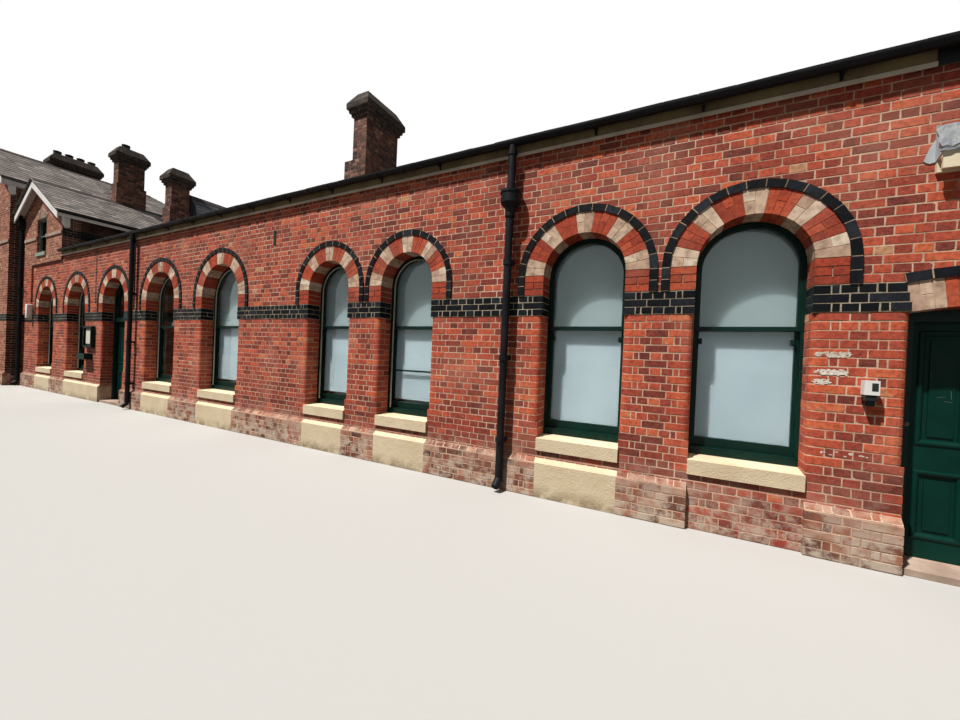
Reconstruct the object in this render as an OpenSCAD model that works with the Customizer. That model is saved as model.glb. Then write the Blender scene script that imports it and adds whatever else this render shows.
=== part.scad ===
// Railway station building: a long brick range with polychrome round-headed windows,
// a two-storey gabled house bay and a projecting wing. Millimetres, front towards -Y.

/* [Building] */
// Depth of the range from front face to rear face
building_depth = 6000; // [5600:50:6600]
// Thickness of the brick walls, one and a half bricks
wall_t = 338; // [325:1:360]
// Depth of brick reveal in front of every window and door frame
reveal = 225; // [200:1:235]
// Height of one brick course with its joint
course = 75; // [73:1:77]
// Thickness of the stone floor
floor_t = 45; // [40:5:60]

/* [Courses counted from the ground] */
// Courses below the black band
courses_below_band = 27; // [26:1:28]
// Courses in the black band
band_courses = 3; // [2:1:3]
// Courses between the band and the springing of the arches
stilt_courses = 3; // [3:1:4]
// How far band and arch bricks stand in front of the wall
band_proud = 8; // [4:1:14]

/* [Arches] */
// Radius of the small window arches
small_r = 437.5; // [420:0.5:450]
// Radius of the large window arches
large_r = 600; // [580:5:620]
// Radial depth of the striped voussoirs
ring_t = 225; // [200:5:230]
// Thickness of the black label course round each arch
label_t = 67.5; // [55:0.5:75]
// How far the label stands in front of the wall
label_proud = 20; // [10:1:30]
// Radius of the rounded brick arris on the jambs
bullnose_r = 56; // [40:1:70]
// Height at which the rounded arris starts
bullnose_z = 800; // [700:10:1000]

/* [Window places] */
// Distance from the right end of the building to the middle of the end door
end_door_inset = 1145; // [1100:5:1250]
// Distance from the end door to the first window
first_window_gap = 1505; // [1480:5:1560]
// Distance between the two windows of a pair
pair_gap = 1500; // [1480:5:1560]
// Distance from one pair of windows to the next
pair_pitch = 3880; // [3700:10:4100]
// Distance from the last small window to the first large one
group_gap = 2920; // [2700:10:3000]
// Distance between the large windows
large_pitch = 2250; // [2150:10:2300]
// Distance from the last window to the wing
last_window_gap = 2050; // [2000:10:2200]

/* [Windows] */
// Height of the underside of the stone sills
sill_z = 515; // [480:5:540]
// Height of a stone sill
sill_h = 152; // [120:2:160]
// How far a sill stands in front of the wall
sill_proud = 30; // [20:1:60]
// Depth of a window frame, front to back
frame_d = 113; // [112:1:113]
// Visible width of the frame round the sashes
frame_w = 25; // [20:1:35]
// Height of the timber sill of a frame
frame_sill_h = 75; // [60:1:90]
// Width of the sash stiles
stile_w = 30; // [25:1:40]
// Thickness of a sash
sash_t = 40; // [35:1:44]
// Height of the meeting rails
meeting_z = 1905; // [1850:5:1950]
// Height of a bottom rail
bottom_rail_h = 88; // [70:1:100]
// Thickness of a pane
glass_t = 4; // [3:1:6]
// Height of the underside of the boards behind the panes that hide the bottom rail
blind_z = 760; // [750:5:800]

/* [Plinth] */
// How far the plinth stands in front of the wall
plinth_proud = 50; // [30:1:70]
// Height of the plinth
plinth_h = 430; // [380:5:450]
// Height of the sloping top of the plinth
plinth_splay = 50; // [30:1:80]

/* [End door] */
// Width of the end doorway
end_door_w = 950; // [930:5:980]
// Radius of the curve of its flat arch
end_arch_r = 2500; // [2300:10:3000]
// Width of the door frames
door_frame_w = 100; // [80:1:110]
// Thickness of the door leaves
leaf_t = 45; // [40:1:50]
// Clearance round a door leaf
leaf_gap = 6; // [5:0.5:8]
// How far the stone thresholds stand above the floor
threshold_up = 5; // [3:1:15]
// Rebate that the frame laps over the leaf
rebate = 20; // [15:1:25]

/* [Range roof] */
// Height of the underside of the roof at the wall face
eaves_z = 4010; // [3980:5:4100]
// Slope of the range roof, rise over run
range_slope = 0.532; // [0.45:0.01:0.54]
// Thickness of the roofs, measured upright
roof_t = 80; // [70:1:110]
// How far the slates reach in front of the wall
slate_lap = 70; // [60:1:80]
// How far the roof passes the end wall
verge = 60; // [40:1:100]
// Height of the fascia board
fascia_h = 120; // [100:1:125]
// Thickness of the fascia board
fascia_t = 25; // [20:1:30]
// Outer radius of the gutters
gutter_r = 65; // [60:1:66]
// Thickness of the gutter iron
gutter_t = 4; // [3:1:6]
// Spacing of the gutter brackets
bracket_pitch = 980; // [900:10:1100]

/* [House] */
// Width of the gabled house bay
house_w = 3260; // [3200:10:3300]
// Distance of its ridge from the wing
house_ridge_in = 1550; // [1500:10:1600]
// Height of the top of its roof
house_ridge_z = 6240; // [6150:10:6350]
// Slope of the house roof, rise over run
house_slope = 0.565; // [0.54:0.005:0.6]
// How far the house eaves pass its side wall
house_eaves = 370; // [300:10:400]
// How far the roofs pass the gable walls
gable_lap = 250; // [200:10:280]
// Height of the ledge where the upper wall starts
ledge_z = 3760; // [3700:5:3780]
// How far the upper wall stands in front of the lower one
ledge_proud = 40; // [20:1:60]
// Width of the upper windows
upper_window_w = 778; // [740:2:800]
// Height of the sill of the upper windows
upper_sill_z = 4090; // [4060:5:4120]
// Height of the opening of the upper windows
upper_window_h = 1010; // [960:5:1040]

/* [Wing] */
// Width of the wing
wing_w = 4000; // [3900:50:4100]
// How far the wing stands in front of the range
wing_step = 330; // [300:10:450]
// Height of the top of the wing roof
wing_ridge_z = 7890; // [7800:10:8000]
// Slope of the wing roof, rise over run
wing_slope = 0.645; // [0.6:0.005:0.66]
// How far the wing eaves pass its walls
wing_eaves = 250; // [200:10:280]

/* [Rear hall roof] */
// Distance of the hall ridge from the house corner
hall_ridge_in = 1190; // [1150:10:1250]
// Height of the top of the hall roof
hall_ridge_z = 6350; // [6300:10:6450]
// Half of the width of the hall roof
hall_half_w = 2150; // [2050:10:2200]

/* [Chimneys] */
// Height of the top of the first range chimney
range_chimney_z = 7175; // [7000:5:7300]
// Height of the top of the second range chimney
hall_chimney_z = 7050; // [7000:5:7300]
// Height of the top of the house chimney
house_chimney_z = 8210; // [8000:10:8300]
// How far the wing chimney rises past the wing's ridge
wing_stack_up = 560; // [450:10:700]
// Width of the two range chimneys
range_stack_w = 385; // [350:5:450]
// Depth of the first range chimney, from the ridge to the front
range_stack_d = 1000; // [950:10:1050]
// Distance of the first range chimney from the middle of the window before it
range_stack_in = 1175; // [1000:5:1300]
// How far the second range chimney reaches past the hall ridge
hall_stack_in = 15; // [0:5:60]
// Width of the house chimney
house_stack_w = 360; // [340:5:420]
// Depth of the house chimney
house_stack_d = 730; // [650:10:800]
// Distance of the house chimney from the middle of the building, front to back
house_stack_in = 570; // [540:10:650]
// Width of the wing chimney
wing_stack_w = 450; // [400:10:500]
// Depth of the wing chimney
wing_stack_d = 1270; // [1100:10:1400]
// Distance of the wing chimney from the wing's ridge
wing_stack_in = 150; // [100:10:250]
// How far the wider foot of a stack stands out
foot_out = 45; // [25:5:60]
// How much further the first range chimney's foot stands out on its left
first_foot_left = 140; // [100:5:180]
// Height of the top of the first range chimney's foot
first_foot_z = 5700; // [5600:10:5900]
// Height of the top of the second range chimney's foot
hall_foot_z = 5820; // [5700:10:5950]
// Height of the top of the house chimney's foot
house_foot_z = 6930; // [6800:10:7200]
// Height of the stubs of the chimney pots
pot_h = 130; // [90:10:240]
// How far each oversailing course steps out
oversail = 40; // [30:1:46]
// Upright edge under the sloping top of a stack
flaunch_lip = 45; // [30:5:80]
// Height of the sloping top of a stack
flaunch_h = 300; // [250:5:320]

/* [Hidden] */
$fn = 48;
arc_fn = 192;
eps = 1;
far = 60000;
seat_gap = 0.3;

// Heights
band_z = courses_below_band * course;
band_top = band_z + band_courses * course;
spring_z = band_top + stilt_courses * course;
sill_top = sill_z + sill_h;
threshold_h = floor_t + threshold_up;
frame_y = reveal;
half_d = building_depth / 2;
building_length = end_door_inset + first_window_gap + pair_pitch + pair_gap + group_gap
    + 4 * large_pitch + last_window_gap + wing_w;
right_end = building_length / 2;
left_end = -right_end;
wing_x1 = left_end + wing_w;
wing_x = left_end + wing_w / 2;
house_x1 = wing_x1 + house_w;
house_x = wing_x1 + house_ridge_in;
hall_x = house_x1 + hall_ridge_in;
wing_face = -half_d - wing_step;

// Openings along the front, from the left
end_door_x = right_end - end_door_inset;
w1 = end_door_x - first_window_gap;
w2 = w1 - pair_gap;
w3 = w1 - pair_pitch;
w4 = w3 - pair_gap;
w5 = w4 - group_gap;
w6 = w5 - large_pitch;
platform_door_x = w6 - large_pitch;
w7 = platform_door_x - large_pitch;
w8 = w7 - large_pitch;
small_windows = [for (x = [w4, w3, w2, w1]) [x, small_r]];
front_windows = concat([[w8, large_r], [w7, large_r], [w6, large_r], [w5, large_r]], small_windows);
rear_windows = concat(front_windows, [[platform_door_x, large_r], [wing_x, large_r]]);
front_openings = concat(
    [[w8, large_r], [w7, large_r], [platform_door_x, large_r], [w6, large_r], [w5, large_r]],
    small_windows,
    [[end_door_x, end_door_w / 2]]
);
front_arches = concat(front_windows, [[platform_door_x, large_r]]);
wing_windows = [[wing_x, large_r]];

// Door leaves
door_leaf_y = wall_t - leaf_t;
end_leaf_w = end_door_w - 2 * door_frame_w + 2 * rebate - 2 * leaf_gap;
end_head_z = band_z - 60;
platform_leaf_w = 2 * large_r - 2 * door_frame_w + 2 * rebate - 2 * leaf_gap;
transom_z = band_z;

// Placement helpers
module facing(y0, depth) {
    translate([0, y0 + depth, 0]) rotate([90, 0, 0]) linear_extrude(depth) children();
}

module along_x(x0, x1) {
    translate([x0, 0, 0]) rotate([90, 0, 90]) linear_extrude(x1 - x0) children();
}

module block(x0, x1, y0, y1, z0, z1) {
    translate([x0, y0, z0]) cube([x1 - x0, y1 - y0, z1 - z0]);
}

module front() {
    translate([0, -half_d, 0]) children();
}

module rear() {
    mirror([0, 1, 0]) front() children();
}

module wing_front() {
    translate([0, wing_face, 0]) children();
}

// Round-headed outline of radius r that starts at height z0
module arch_outline(x, r, z0) {
    translate([x - r, z0]) square([2 * r, spring_z - z0]);
    half_disc(x, r);
}

module half_disc(x, r) {
    intersection() {
        translate([x, spring_z]) circle(r, $fn = arc_fn);
        translate([x - r - eps, spring_z]) square([2 * r + 2 * eps, r + eps]);
    }
}

module wedge(a0, a1, r) {
    polygon([[0, 0], [r * cos(a0), r * sin(a0)], [r * cos(a1), r * sin(a1)]]);
}

module label_outline(x, r) {
    difference() {
        arch_outline(x, r + ring_t + label_t, band_top);
        arch_outline(x, r + ring_t, band_top - eps);
    }
}

// Everything that one arched opening takes out of a wall, with its voussoirs and label
module arch_cut(x, r, z0) {
    facing(-far / 20, far / 10) arch_outline(x, r, z0);
    facing(-far / 20, far / 20 + reveal) {
        half_disc(x, r + ring_t);
        label_outline(x, r);
    }
    bullnose_cut(x, r);
}

module bullnose_cut(x, r) {
    for (side = [-1, 1])
        translate([x + side * r, 0, bullnose_z])
            linear_extrude(band_z - bullnose_z)
                difference() {
                    translate([side > 0 ? -eps : -bullnose_r, -eps])
                        square([bullnose_r + eps, bullnose_r + eps]);
                    translate([side * bullnose_r, bullnose_r]) circle(bullnose_r);
                }
}

// The flat arch over the end door
end_arch_z = band_z - sqrt(end_arch_r * end_arch_r - end_door_w * end_door_w / 4);
end_arch_a = asin(end_door_w / 2 / end_arch_r);

module end_arch_outline(r1, spread = 0) {
    translate([end_door_x, end_arch_z])
        intersection() {
            circle(r1, $fn = 2 * arc_fn);
            wedge(90 - end_arch_a - spread, 90 + end_arch_a + spread, r1 * 1.2);
        }
}

module end_door_cut() {
    half = end_door_w / 2;
    facing(-far / 20, far / 10)
        translate([end_door_x - half, -eps]) square([end_door_w, band_z + eps]);
    // The band's own rebate already covers the arch's feet
    facing(-far / 20, far / 20 + reveal)
        intersection() {
            end_arch_outline(end_arch_r + ring_t + label_t);
            translate([0, (band_z + band_top) / 2]) square(far);
        }
    bullnose_cut(end_door_x, half);
}

side_band = 113;

// Room for the black band along the end walls and the step of the wing
module side_band_cuts() {
    block(right_end - side_band, right_end + eps, -half_d + reveal, half_d - reveal, band_z, band_top);
    block(left_end - eps, left_end + side_band, wing_face + reveal, half_d - reveal, band_z, band_top);
    block(wing_x1 - side_band, wing_x1 + eps, wing_face + reveal, -half_d, band_z, band_top);
}

module band_cut(x0, x1) {
    block(x0, x1, -eps, reveal, band_z, band_top);
}

// Solid below the two slopes of a roof whose ridge runs along Y
module under_y_roof(x, ridge_z, slope, left, right, y0, y1) {
    facing(y0, y1 - y0)
        polygon([
            [x - left, -eps],
            [x + right, -eps],
            [x + right, ridge_z - slope * right],
            [x, ridge_z],
            [x - left, ridge_z - slope * left]
        ]);
}

// Range roof
range_ridge_z = eaves_z + range_slope * half_d;

module under_range(lift, lap, x0, x1) {
    low = eaves_z + lift - range_slope * lap;
    along_x(x0, x1)
        polygon([
            [-half_d - lap, -eps],
            [half_d + lap, -eps],
            [half_d + lap, low],
            [0, range_ridge_z + lift],
            [-half_d - lap, low]
        ]);
}

module range_slab(x0, x1) {
    difference() {
        under_range(roof_t, slate_lap, x0, x1);
        under_range(0, slate_lap + eps, x0 - eps, x1 + eps);
    }
}

// House roof, which meets the side of the wing
house_right = house_x1 - house_x + house_eaves;

module under_house(drop, y_lap) {
    under_y_roof(
        house_x, house_ridge_z - drop, house_slope, house_ridge_in,
        house_right + drop, -half_d - y_lap, half_d + y_lap
    );
}

module house_slab() {
    difference() {
        under_y_roof(
            house_x, house_ridge_z, house_slope, house_ridge_in,
            house_right, -half_d - gable_lap, half_d + gable_lap
        );
        under_house(roof_t, gable_lap + eps);
        under_y_roof(
            house_x, house_ridge_z - roof_t, house_slope, house_ridge_in + 10,
            10, -half_d - gable_lap - eps, half_d + gable_lap + eps
        );
    }
}

// Wing roof, gabled in front and hipped behind
wing_half = wing_w / 2 + wing_eaves;

module under_wing(drop, grow) {
    intersection() {
        under_y_roof(
            wing_x, wing_ridge_z - drop, wing_slope, wing_half + grow, wing_half + grow,
            wing_face - gable_lap - grow, half_d + wing_eaves + grow
        );
        along_x(wing_x - 2 * wing_half, wing_x + 2 * wing_half)
            polygon([
                [wing_face - gable_lap - 2 * grow - eps, -2 * eps],
                [half_d + wing_eaves + grow, -2 * eps],
                [half_d + wing_eaves + grow, wing_ridge_z - drop - wing_slope * (wing_half + grow)],
                [half_d + wing_eaves - wing_half, wing_ridge_z - drop],
                [wing_face - gable_lap - 2 * grow - eps, wing_ridge_z - drop]
            ]);
    }
}

// Rear hall roof
hall_y0 = -500;
hall_slope = 1;
wing_stack_y = -1900;
hall_t = 1.4 * roof_t;

module under_hall(drop, y0, y1) {
    under_y_roof(
        hall_x, hall_ridge_z - drop, hall_slope, hall_half_w, hall_half_w, y0, y1
    );
}

// Stacks: each row is x0, x1, y0, y1, the height of the top, that of the foot, and its reach left
stacks_range = [
    [
        w5 + range_stack_in, w5 + range_stack_in + range_stack_w,
        -range_stack_d, 0, range_chimney_z, first_foot_z, first_foot_left
    ],
    [
        hall_x + hall_stack_in - range_stack_w, hall_x + hall_stack_in,
        -range_stack_d, hall_y0, hall_chimney_z, hall_foot_z, 0
    ]
];
stack_house = [
    house_x - house_stack_w, house_x,
    -house_stack_in - house_stack_d, -house_stack_in, house_chimney_z, house_foot_z, 0
];
wing_chimney_z = wing_ridge_z + wing_stack_up;
stack_wing = [
    wing_x - wing_stack_in - wing_stack_w, wing_x - wing_stack_in,
    wing_stack_y, wing_stack_y + wing_stack_d, wing_chimney_z
];
stacks = concat(stacks_range, [stack_house, stack_wing]);
footed_stacks = concat(stacks_range, [stack_house]);

head_courses = 3;

module stack_hole(s) {
    block(s[0], s[1], s[2], s[3], floor_t, s[4] - flaunch_h);
}

module foot_hole(s, more) {
    out = foot_out + more;
    block(s[0] - out - s[6], s[1] + out, s[2] - out, s[3] + out, eaves_z, s[5] + more);
}

function shaft_top(s) = s[4] - flaunch_h - head_courses * course;

module stack(s) {
    block(s[0], s[1], s[2], s[3], floor_t, shaft_top(s));
}

// Oversailing courses and the sloping top of a stack
module stack_head(s) {
    cap_z = s[4] - flaunch_h;
    for (i = [1:head_courses]) {
        step = i * oversail;
        block(
            s[0] - step, s[1] + step, s[2] - step, s[3] + step,
            shaft_top(s) + (i - 1) * course, cap_z
        );
    }
    out = head_courses * oversail;
    intersection() {
        facing(s[2] - out, s[3] - s[2] + 2 * out)
            polygon([
                [s[0] - out, cap_z],
                [s[1] + out, cap_z],
                [s[1] + out, cap_z + flaunch_lip],
                [s[1] - oversail, s[4]],
                [s[0] + oversail, s[4]],
                [s[0] - out, cap_z + flaunch_lip]
            ]);
        along_x(s[0] - out, s[1] + out)
            polygon([
                [s[2] - out, cap_z],
                [s[3] + out, cap_z],
                [s[3] + out, cap_z + flaunch_lip],
                [s[3] - oversail, s[4]],
                [s[2] + oversail, s[4]],
                [s[2] - out, cap_z + flaunch_lip]
            ]);
    }
}

module range_chimneys() {
    color("#4a3430") for (s = stacks_range) stack(s);
}

module house_chimney() {
    color("#3c2f2c") stack(stack_house);
}

module wing_chimney() {
    color("#3c2f2c") stack(stack_wing);
}

module chimney_heads() {
    color("#3c2f2c") for (s = stacks) stack_head(s);
}

// Wider feet, which stand on the slates round their stacks
module chimney_feet() {
    color("#3c2f2c") difference() {
        for (s = footed_stacks) foot_hole(s, 0);
        for (s = footed_stacks) stack_hole(s);
        under_range(roof_t + seat_gap, slate_lap, -far / 2, far / 2);
        under_house(-seat_gap, gable_lap);
        under_hall(-seat_gap, hall_y0 - eps, far / 2);
    }
}

pot_r = 118;
pot_in_r = 90;
pot_lip = 30;

module pot(x, y, z) {
    translate([x, y, z])
        rotate_extrude()
            polygon([
                [pot_in_r, 0],
                [pot_r, 0],
                [pot_r - pot_lip / 2, pot_h - pot_lip],
                [pot_r, pot_h - pot_lip],
                [pot_r, pot_h],
                [pot_in_r, pot_h]
            ]);
}

module chimney_pots() {
    color("#33302e") {
        pot(
            (stack_house[0] + stack_house[1]) / 2,
            stack_house[2] + house_stack_d / 3,
            house_chimney_z
        );
        for (i = [0:3])
            pot(
                (stack_wing[0] + stack_wing[1]) / 2,
                stack_wing[2] + (i + 0.5) * (stack_wing[3] - stack_wing[2]) / 4,
                wing_chimney_z
            );
    }
}

// Floors of the range and of the wing
module floor() {
    color("#8d8880") {
        block(wing_x1, right_end - wall_t, -half_d + wall_t, half_d - wall_t, 0, floor_t);
        block(
            left_end + wall_t, wing_x1 - wall_t,
            wing_face + wall_t, half_d - wall_t, 0, floor_t
        );
    }
}

// Front walls of the range, in pieces beside and over the doors
cut_reach = 1600;

function may_cut(x, x0, x1) = x > x0 - cut_reach && x < x1 + cut_reach;

module front_cuts(x0, x1) {
    for (o = front_windows) if (may_cut(o[0], x0, x1)) arch_cut(o[0], o[1], sill_z);
    if (may_cut(platform_door_x, x0, x1)) arch_cut(platform_door_x, large_r, -eps);
    if (may_cut(end_door_x, x0, x1)) end_door_cut();
    band_cut(x0 - eps, x1 + eps);
}

module front_piece(x0, x1, z0) {
    front() difference() {
        block(x0, x1, 0, wall_t, z0, eaves_z + range_slope * wall_t);
        front_cuts(x0, x1);
    }
}

module below_range() {
    under_range(0, 0, house_x1 - far / 10, right_end + far / 10);
}

module front_wall() {
    color("#a84a38") intersection() {
        front_piece(platform_door_x + large_r, end_door_x - end_door_w / 2, 0);
        below_range();
    }
}

module front_wall_end_pier() {
    color("#a84a38") intersection() {
        difference() {
            front_piece(end_door_x + end_door_w / 2, right_end, 0);
            side_band_cuts();
        }
        below_range();
    }
}

module wall_over_end_door() {
    color("#a84a38") intersection() {
        difference() {
            front_piece(end_door_x - end_door_w / 2, end_door_x + end_door_w / 2, band_z);
            front() facing(-far / 20, far / 10) end_arch_outline(end_arch_r);
        }
        below_range();
    }
}

module wall_over_platform_door() {
    color("#a84a38") intersection() {
        front_piece(platform_door_x - large_r, platform_door_x + large_r, spring_z);
        below_range();
    }
}

// The wall left of the platform door steps down to the ledge under the house gable
strip_w = 880;

module front_wall_left() {
    color("#a84a38") {
        intersection() {
            front_piece(wing_x1, platform_door_x - large_r, 0);
            union() {
                block(wing_x1 - eps, house_x1, -far, far, -eps, ledge_z);
                difference() {
                    below_range();
                    block(-far, house_x1, -far, far, -far, far);
                }
            }
        }
        front() block(wing_x1, wing_x1 + strip_w, -ledge_proud, eps / 2, band_top, ledge_z);
    }
}

// Upper windows: a square opening with a pointed head stone over it
head_h = 340;
head_lap = 60;
head_depth = 100;

module upper_head(x) {
    half = upper_window_w / 2 + head_lap;
    z = upper_sill_z + upper_window_h;
    polygon([
        [x - half, z],
        [x + half, z],
        [x + half, z + head_h / 4],
        [x, z + head_h],
        [x - half, z + head_h / 4]
    ]);
}

module upper_outline(x, inset) {
    translate([x - upper_window_w / 2 + inset, upper_sill_z + inset])
        square([upper_window_w - 2 * inset, upper_window_h - 2 * inset]);
}

upper_sill_h = 90;

module upper_cut(x, y0) {
    facing(y0 - eps, wall_t + ledge_proud + 10 * eps) upper_outline(x, 0);
    facing(y0 - eps, head_depth + eps) upper_head(x);
    block(
        x - upper_window_w / 2, x + upper_window_w / 2, y0 - eps, wall_t + 10 * eps,
        upper_sill_z - upper_sill_h, upper_sill_z + eps
    );
}

house_window_off = 120;
house_window_x = house_x + house_window_off;

module house_gable_outline(z0) {
    polygon([
        [wing_x1, z0],
        [house_x1, z0],
        [house_x1, house_ridge_z - roof_t - house_slope * (house_x1 - house_x)],
        [house_x, house_ridge_z - roof_t],
        [wing_x1, house_ridge_z - roof_t - house_slope * house_ridge_in]
    ]);
}

module house_front_wall() {
    color("#a5503c") front() difference() {
        facing(-ledge_proud, wall_t + ledge_proud) house_gable_outline(ledge_z);
        upper_cut(house_window_x, -ledge_proud);
    }
}

module house_side_wall() {
    color("#a84a38") intersection() {
        block(house_x1 - wall_t, house_x1, -half_d + wall_t, half_d - wall_t, floor_t, far / 6);
        under_house(roof_t, 0);
    }
}

module end_wall() {
    color("#a84a38") intersection() {
        difference() {
            block(right_end - wall_t, right_end, -half_d + wall_t, half_d - wall_t, 0, far / 6);
            side_band_cuts();
        }
        below_range();
    }
}

// One wall closes the back of range, house and wing
module rear_wall() {
    color("#9e4a39") difference() {
        union() {
            intersection() {
                rear() block(house_x1, right_end, 0, wall_t, 0, far / 6);
                union() {
                    below_range();
                    under_hall(hall_t, -far, far);
                }
            }
            rear() facing(0, wall_t) house_gable_outline(0);
            intersection() {
                rear() block(left_end, wing_x1, 0, wall_t, 0, far / 6);
                under_wing(roof_t, 0);
            }
        }
        house_slab();
        side_band_cuts();
        rear() {
            for (o = rear_windows) arch_cut(o[0], o[1], sill_z);
            band_cut(left_end - eps, right_end + eps);
            upper_cut(house_window_x, 0);
            upper_cut(wing_x, 0);
        }
    }
}

module wing_front_wall() {
    color("#8f4436") intersection() {
        difference() {
            wing_front() difference() {
                block(left_end, wing_x1, 0, wall_t, 0, far / 6);
                arch_cut(wing_x, large_r, sill_z);
                band_cut(left_end - eps, wing_x1 + eps);
                upper_cut(wing_x, 0);
            }
            side_band_cuts();
        }
        under_wing(roof_t, 0);
    }
}

module wing_side_walls() {
    color("#7c3d33") intersection() {
        difference() {
            union() {
                block(wing_x1 - wall_t, wing_x1, wing_face + wall_t, half_d - wall_t, 0, far / 6);
                block(left_end, left_end + wall_t, wing_face + wall_t, half_d - wall_t, 0, far / 6);
            }
            side_band_cuts();
        }
        under_wing(roof_t, 0);
    }
}

// Black band: bricks between the openings, and round the ends. Its feet lean a hair off the flat arch
arch_seat_a = 0.01;

module band_run(x0, x1) {
    block(x0, x1, -band_proud, reveal, band_z, band_top);
}

module black_band() {
    color("#26282c") {
        front() difference() {
            band_run(wing_x1, right_end + band_proud);
            for (o = front_arches) facing(-far / 20, far / 10) arch_outline(o[0], o[1], 0);
            facing(-far / 20, far / 10)
                end_arch_outline(end_arch_r + ring_t + label_t + seat_gap, arch_seat_a);
        }
        rear() difference() {
            band_run(left_end - band_proud, right_end + band_proud);
            for (o = rear_windows) facing(-far / 20, far / 10) arch_outline(o[0], o[1], 0);
        }
        wing_front() difference() {
            band_run(left_end - band_proud, wing_x1 + band_proud);
            facing(-far / 20, far / 10) arch_outline(wing_x, large_r, 0);
        }
        block(
            right_end - side_band, right_end + band_proud,
            -half_d + reveal, half_d - reveal, band_z, band_top
        );
        block(
            left_end - band_proud, left_end + side_band,
            wing_face + reveal, half_d - reveal, band_z, band_top
        );
        block(
            wing_x1 - side_band, wing_x1 + band_proud,
            wing_face + reveal, -half_d - band_proud, band_z, band_top
        );
    }
}

// Voussoirs: nine stripes, cream at the springings and the crown
cream_a = 18;
red_a = (180 - 5 * cream_a) / 4;

module stripe(x, r, a0, a1) {
    facing(-band_proud, reveal + band_proud)
        translate([x, spring_z])
            intersection() {
                difference() {
                    circle(r + ring_t, $fn = arc_fn);
                    circle(r, $fn = arc_fn);
                }
                wedge(a0, a1, 3 * r);
            }
}

module arch_stripes(x, r, first, count, a) {
    for (i = [0:count - 1])
        stripe(x, r, first + i * (cream_a + red_a), first + i * (cream_a + red_a) + a);
}

module each_arch() {
    front() for (o = front_arches) {
        $o = o;
        children();
    }
    rear() for (o = rear_windows) {
        $o = o;
        children();
    }
    wing_front() {
        $o = wing_windows[0];
        children();
    }
}

end_stripes = 5;
end_stripe_a = 2 * end_arch_a / end_stripes;

module end_stripe(i) {
    a0 = 90 - end_arch_a + i * end_stripe_a;
    front() facing(-band_proud, reveal + band_proud)
        translate([end_door_x, end_arch_z])
            intersection() {
                difference() {
                    circle(end_arch_r + ring_t, $fn = 2 * arc_fn);
                    circle(end_arch_r, $fn = 2 * arc_fn);
                }
                wedge(a0, a0 + end_stripe_a, 3 * end_arch_r);
            }
}

module arch_cream_voussoirs() {
    color("#d8bf93") {
        each_arch() arch_stripes($o[0], $o[1], 0, 5, cream_a);
        for (i = [0:2:end_stripes - 1]) end_stripe(i);
    }
}

module arch_red_voussoirs() {
    color("#a5432c") {
        each_arch() arch_stripes($o[0], $o[1], cream_a, 4, red_a);
        for (i = [1:2:end_stripes - 1]) end_stripe(i);
    }
}

module arch_black_labels() {
    color("#26282c") {
        each_arch() facing(-label_proud, reveal + label_proud) label_outline($o[0], $o[1]);
        front() facing(-label_proud, reveal + label_proud)
            difference() {
                end_arch_outline(end_arch_r + ring_t + label_t);
                translate([end_door_x, end_arch_z]) circle(end_arch_r + ring_t, $fn = 2 * arc_fn);
            }
    }
}

// Plinth: brick and stone under the piers, cream render under the windows
module plinth_run(x0, x1) {
    along_x(x0, x1)
        polygon([
            [-plinth_proud, 0],
            [0, 0],
            [0, plinth_h],
            [-plinth_proud, plinth_h - plinth_splay]
        ]);
}

count = len(front_openings);

module pier_plinths() {
    color("#a87a6a") {
        front() {
            plinth_run(wing_x1, front_openings[0][0] - front_openings[0][1]);
            for (i = [0:count - 2])
                if (i != 1)
                    plinth_run(
                        front_openings[i][0] + front_openings[i][1],
                        front_openings[i + 1][0] - front_openings[i + 1][1]
                    );
            plinth_run(front_openings[count - 1][0] + front_openings[count - 1][1], right_end);
        }
        rear() plinth_run(left_end, right_end);
        wing_front() {
            plinth_run(left_end, wing_x - large_r);
            plinth_run(wing_x + large_r, wing_x1);
        }
    }
}

module cream_plinths() {
    color("#ecd8a6") {
        front() {
            plinth_run(w8 - large_r, w8 + large_r);
            plinth_run(w7 - large_r, platform_door_x - large_r);
            for (o = [[w6, large_r], [w5, large_r], [w4, small_r], [w3, small_r], [w2, small_r]])
                plinth_run(o[0] - o[1], o[0] + o[1]);
        }
        wing_front() plinth_run(wing_x - large_r, wing_x + large_r);
    }
}

// Stone sills
module sill(x, r) {
    along_x(x - r, x + r)
        polygon([
            [-sill_proud, sill_z],
            [wall_t, sill_z],
            [wall_t, sill_top],
            [reveal, sill_top],
            [-sill_proud, sill_top - 15]
        ]);
}

module each_window() {
    front() for (o = front_windows) {
        $o = o;
        children();
    }
    rear() for (o = rear_windows) {
        $o = o;
        children();
    }
    wing_front() {
        $o = wing_windows[0];
        children();
    }
}

module window_sills() {
    color("#ecd8a6") each_window() sill($o[0], $o[1]);
}

// Box frames, sashes and panes
upper_sash_y = frame_y + 14;
lower_sash_y = upper_sash_y + sash_t + 2;
rail_half = 20;

upper_in = 100;

module each_upper() {
    set = upper_in - frame_y;
    front() translate([0, set - ledge_proud, 0]) {
        $x = house_window_x;
        children();
    }
    rear() translate([0, set, 0]) {
        $x = house_window_x;
        children();
    }
    rear() translate([0, set, 0]) {
        $x = wing_x;
        children();
    }
    wing_front() translate([0, set, 0]) {
        $x = wing_x;
        children();
    }
}

module window_frames() {
    color("#0e3b2b") {
        each_window() facing(frame_y, frame_d) difference() {
            arch_outline($o[0], $o[1], sill_top);
            arch_outline($o[0], $o[1] - frame_w, sill_top + frame_sill_h);
        }
        each_upper() facing(frame_y, frame_d) difference() {
            upper_outline($x, 0);
            upper_outline($x, frame_w);
        }
    }
}

module upper_sash_hole(x, r) {
    arch_outline(x, r - frame_w - stile_w, meeting_z + rail_half);
}

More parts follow.
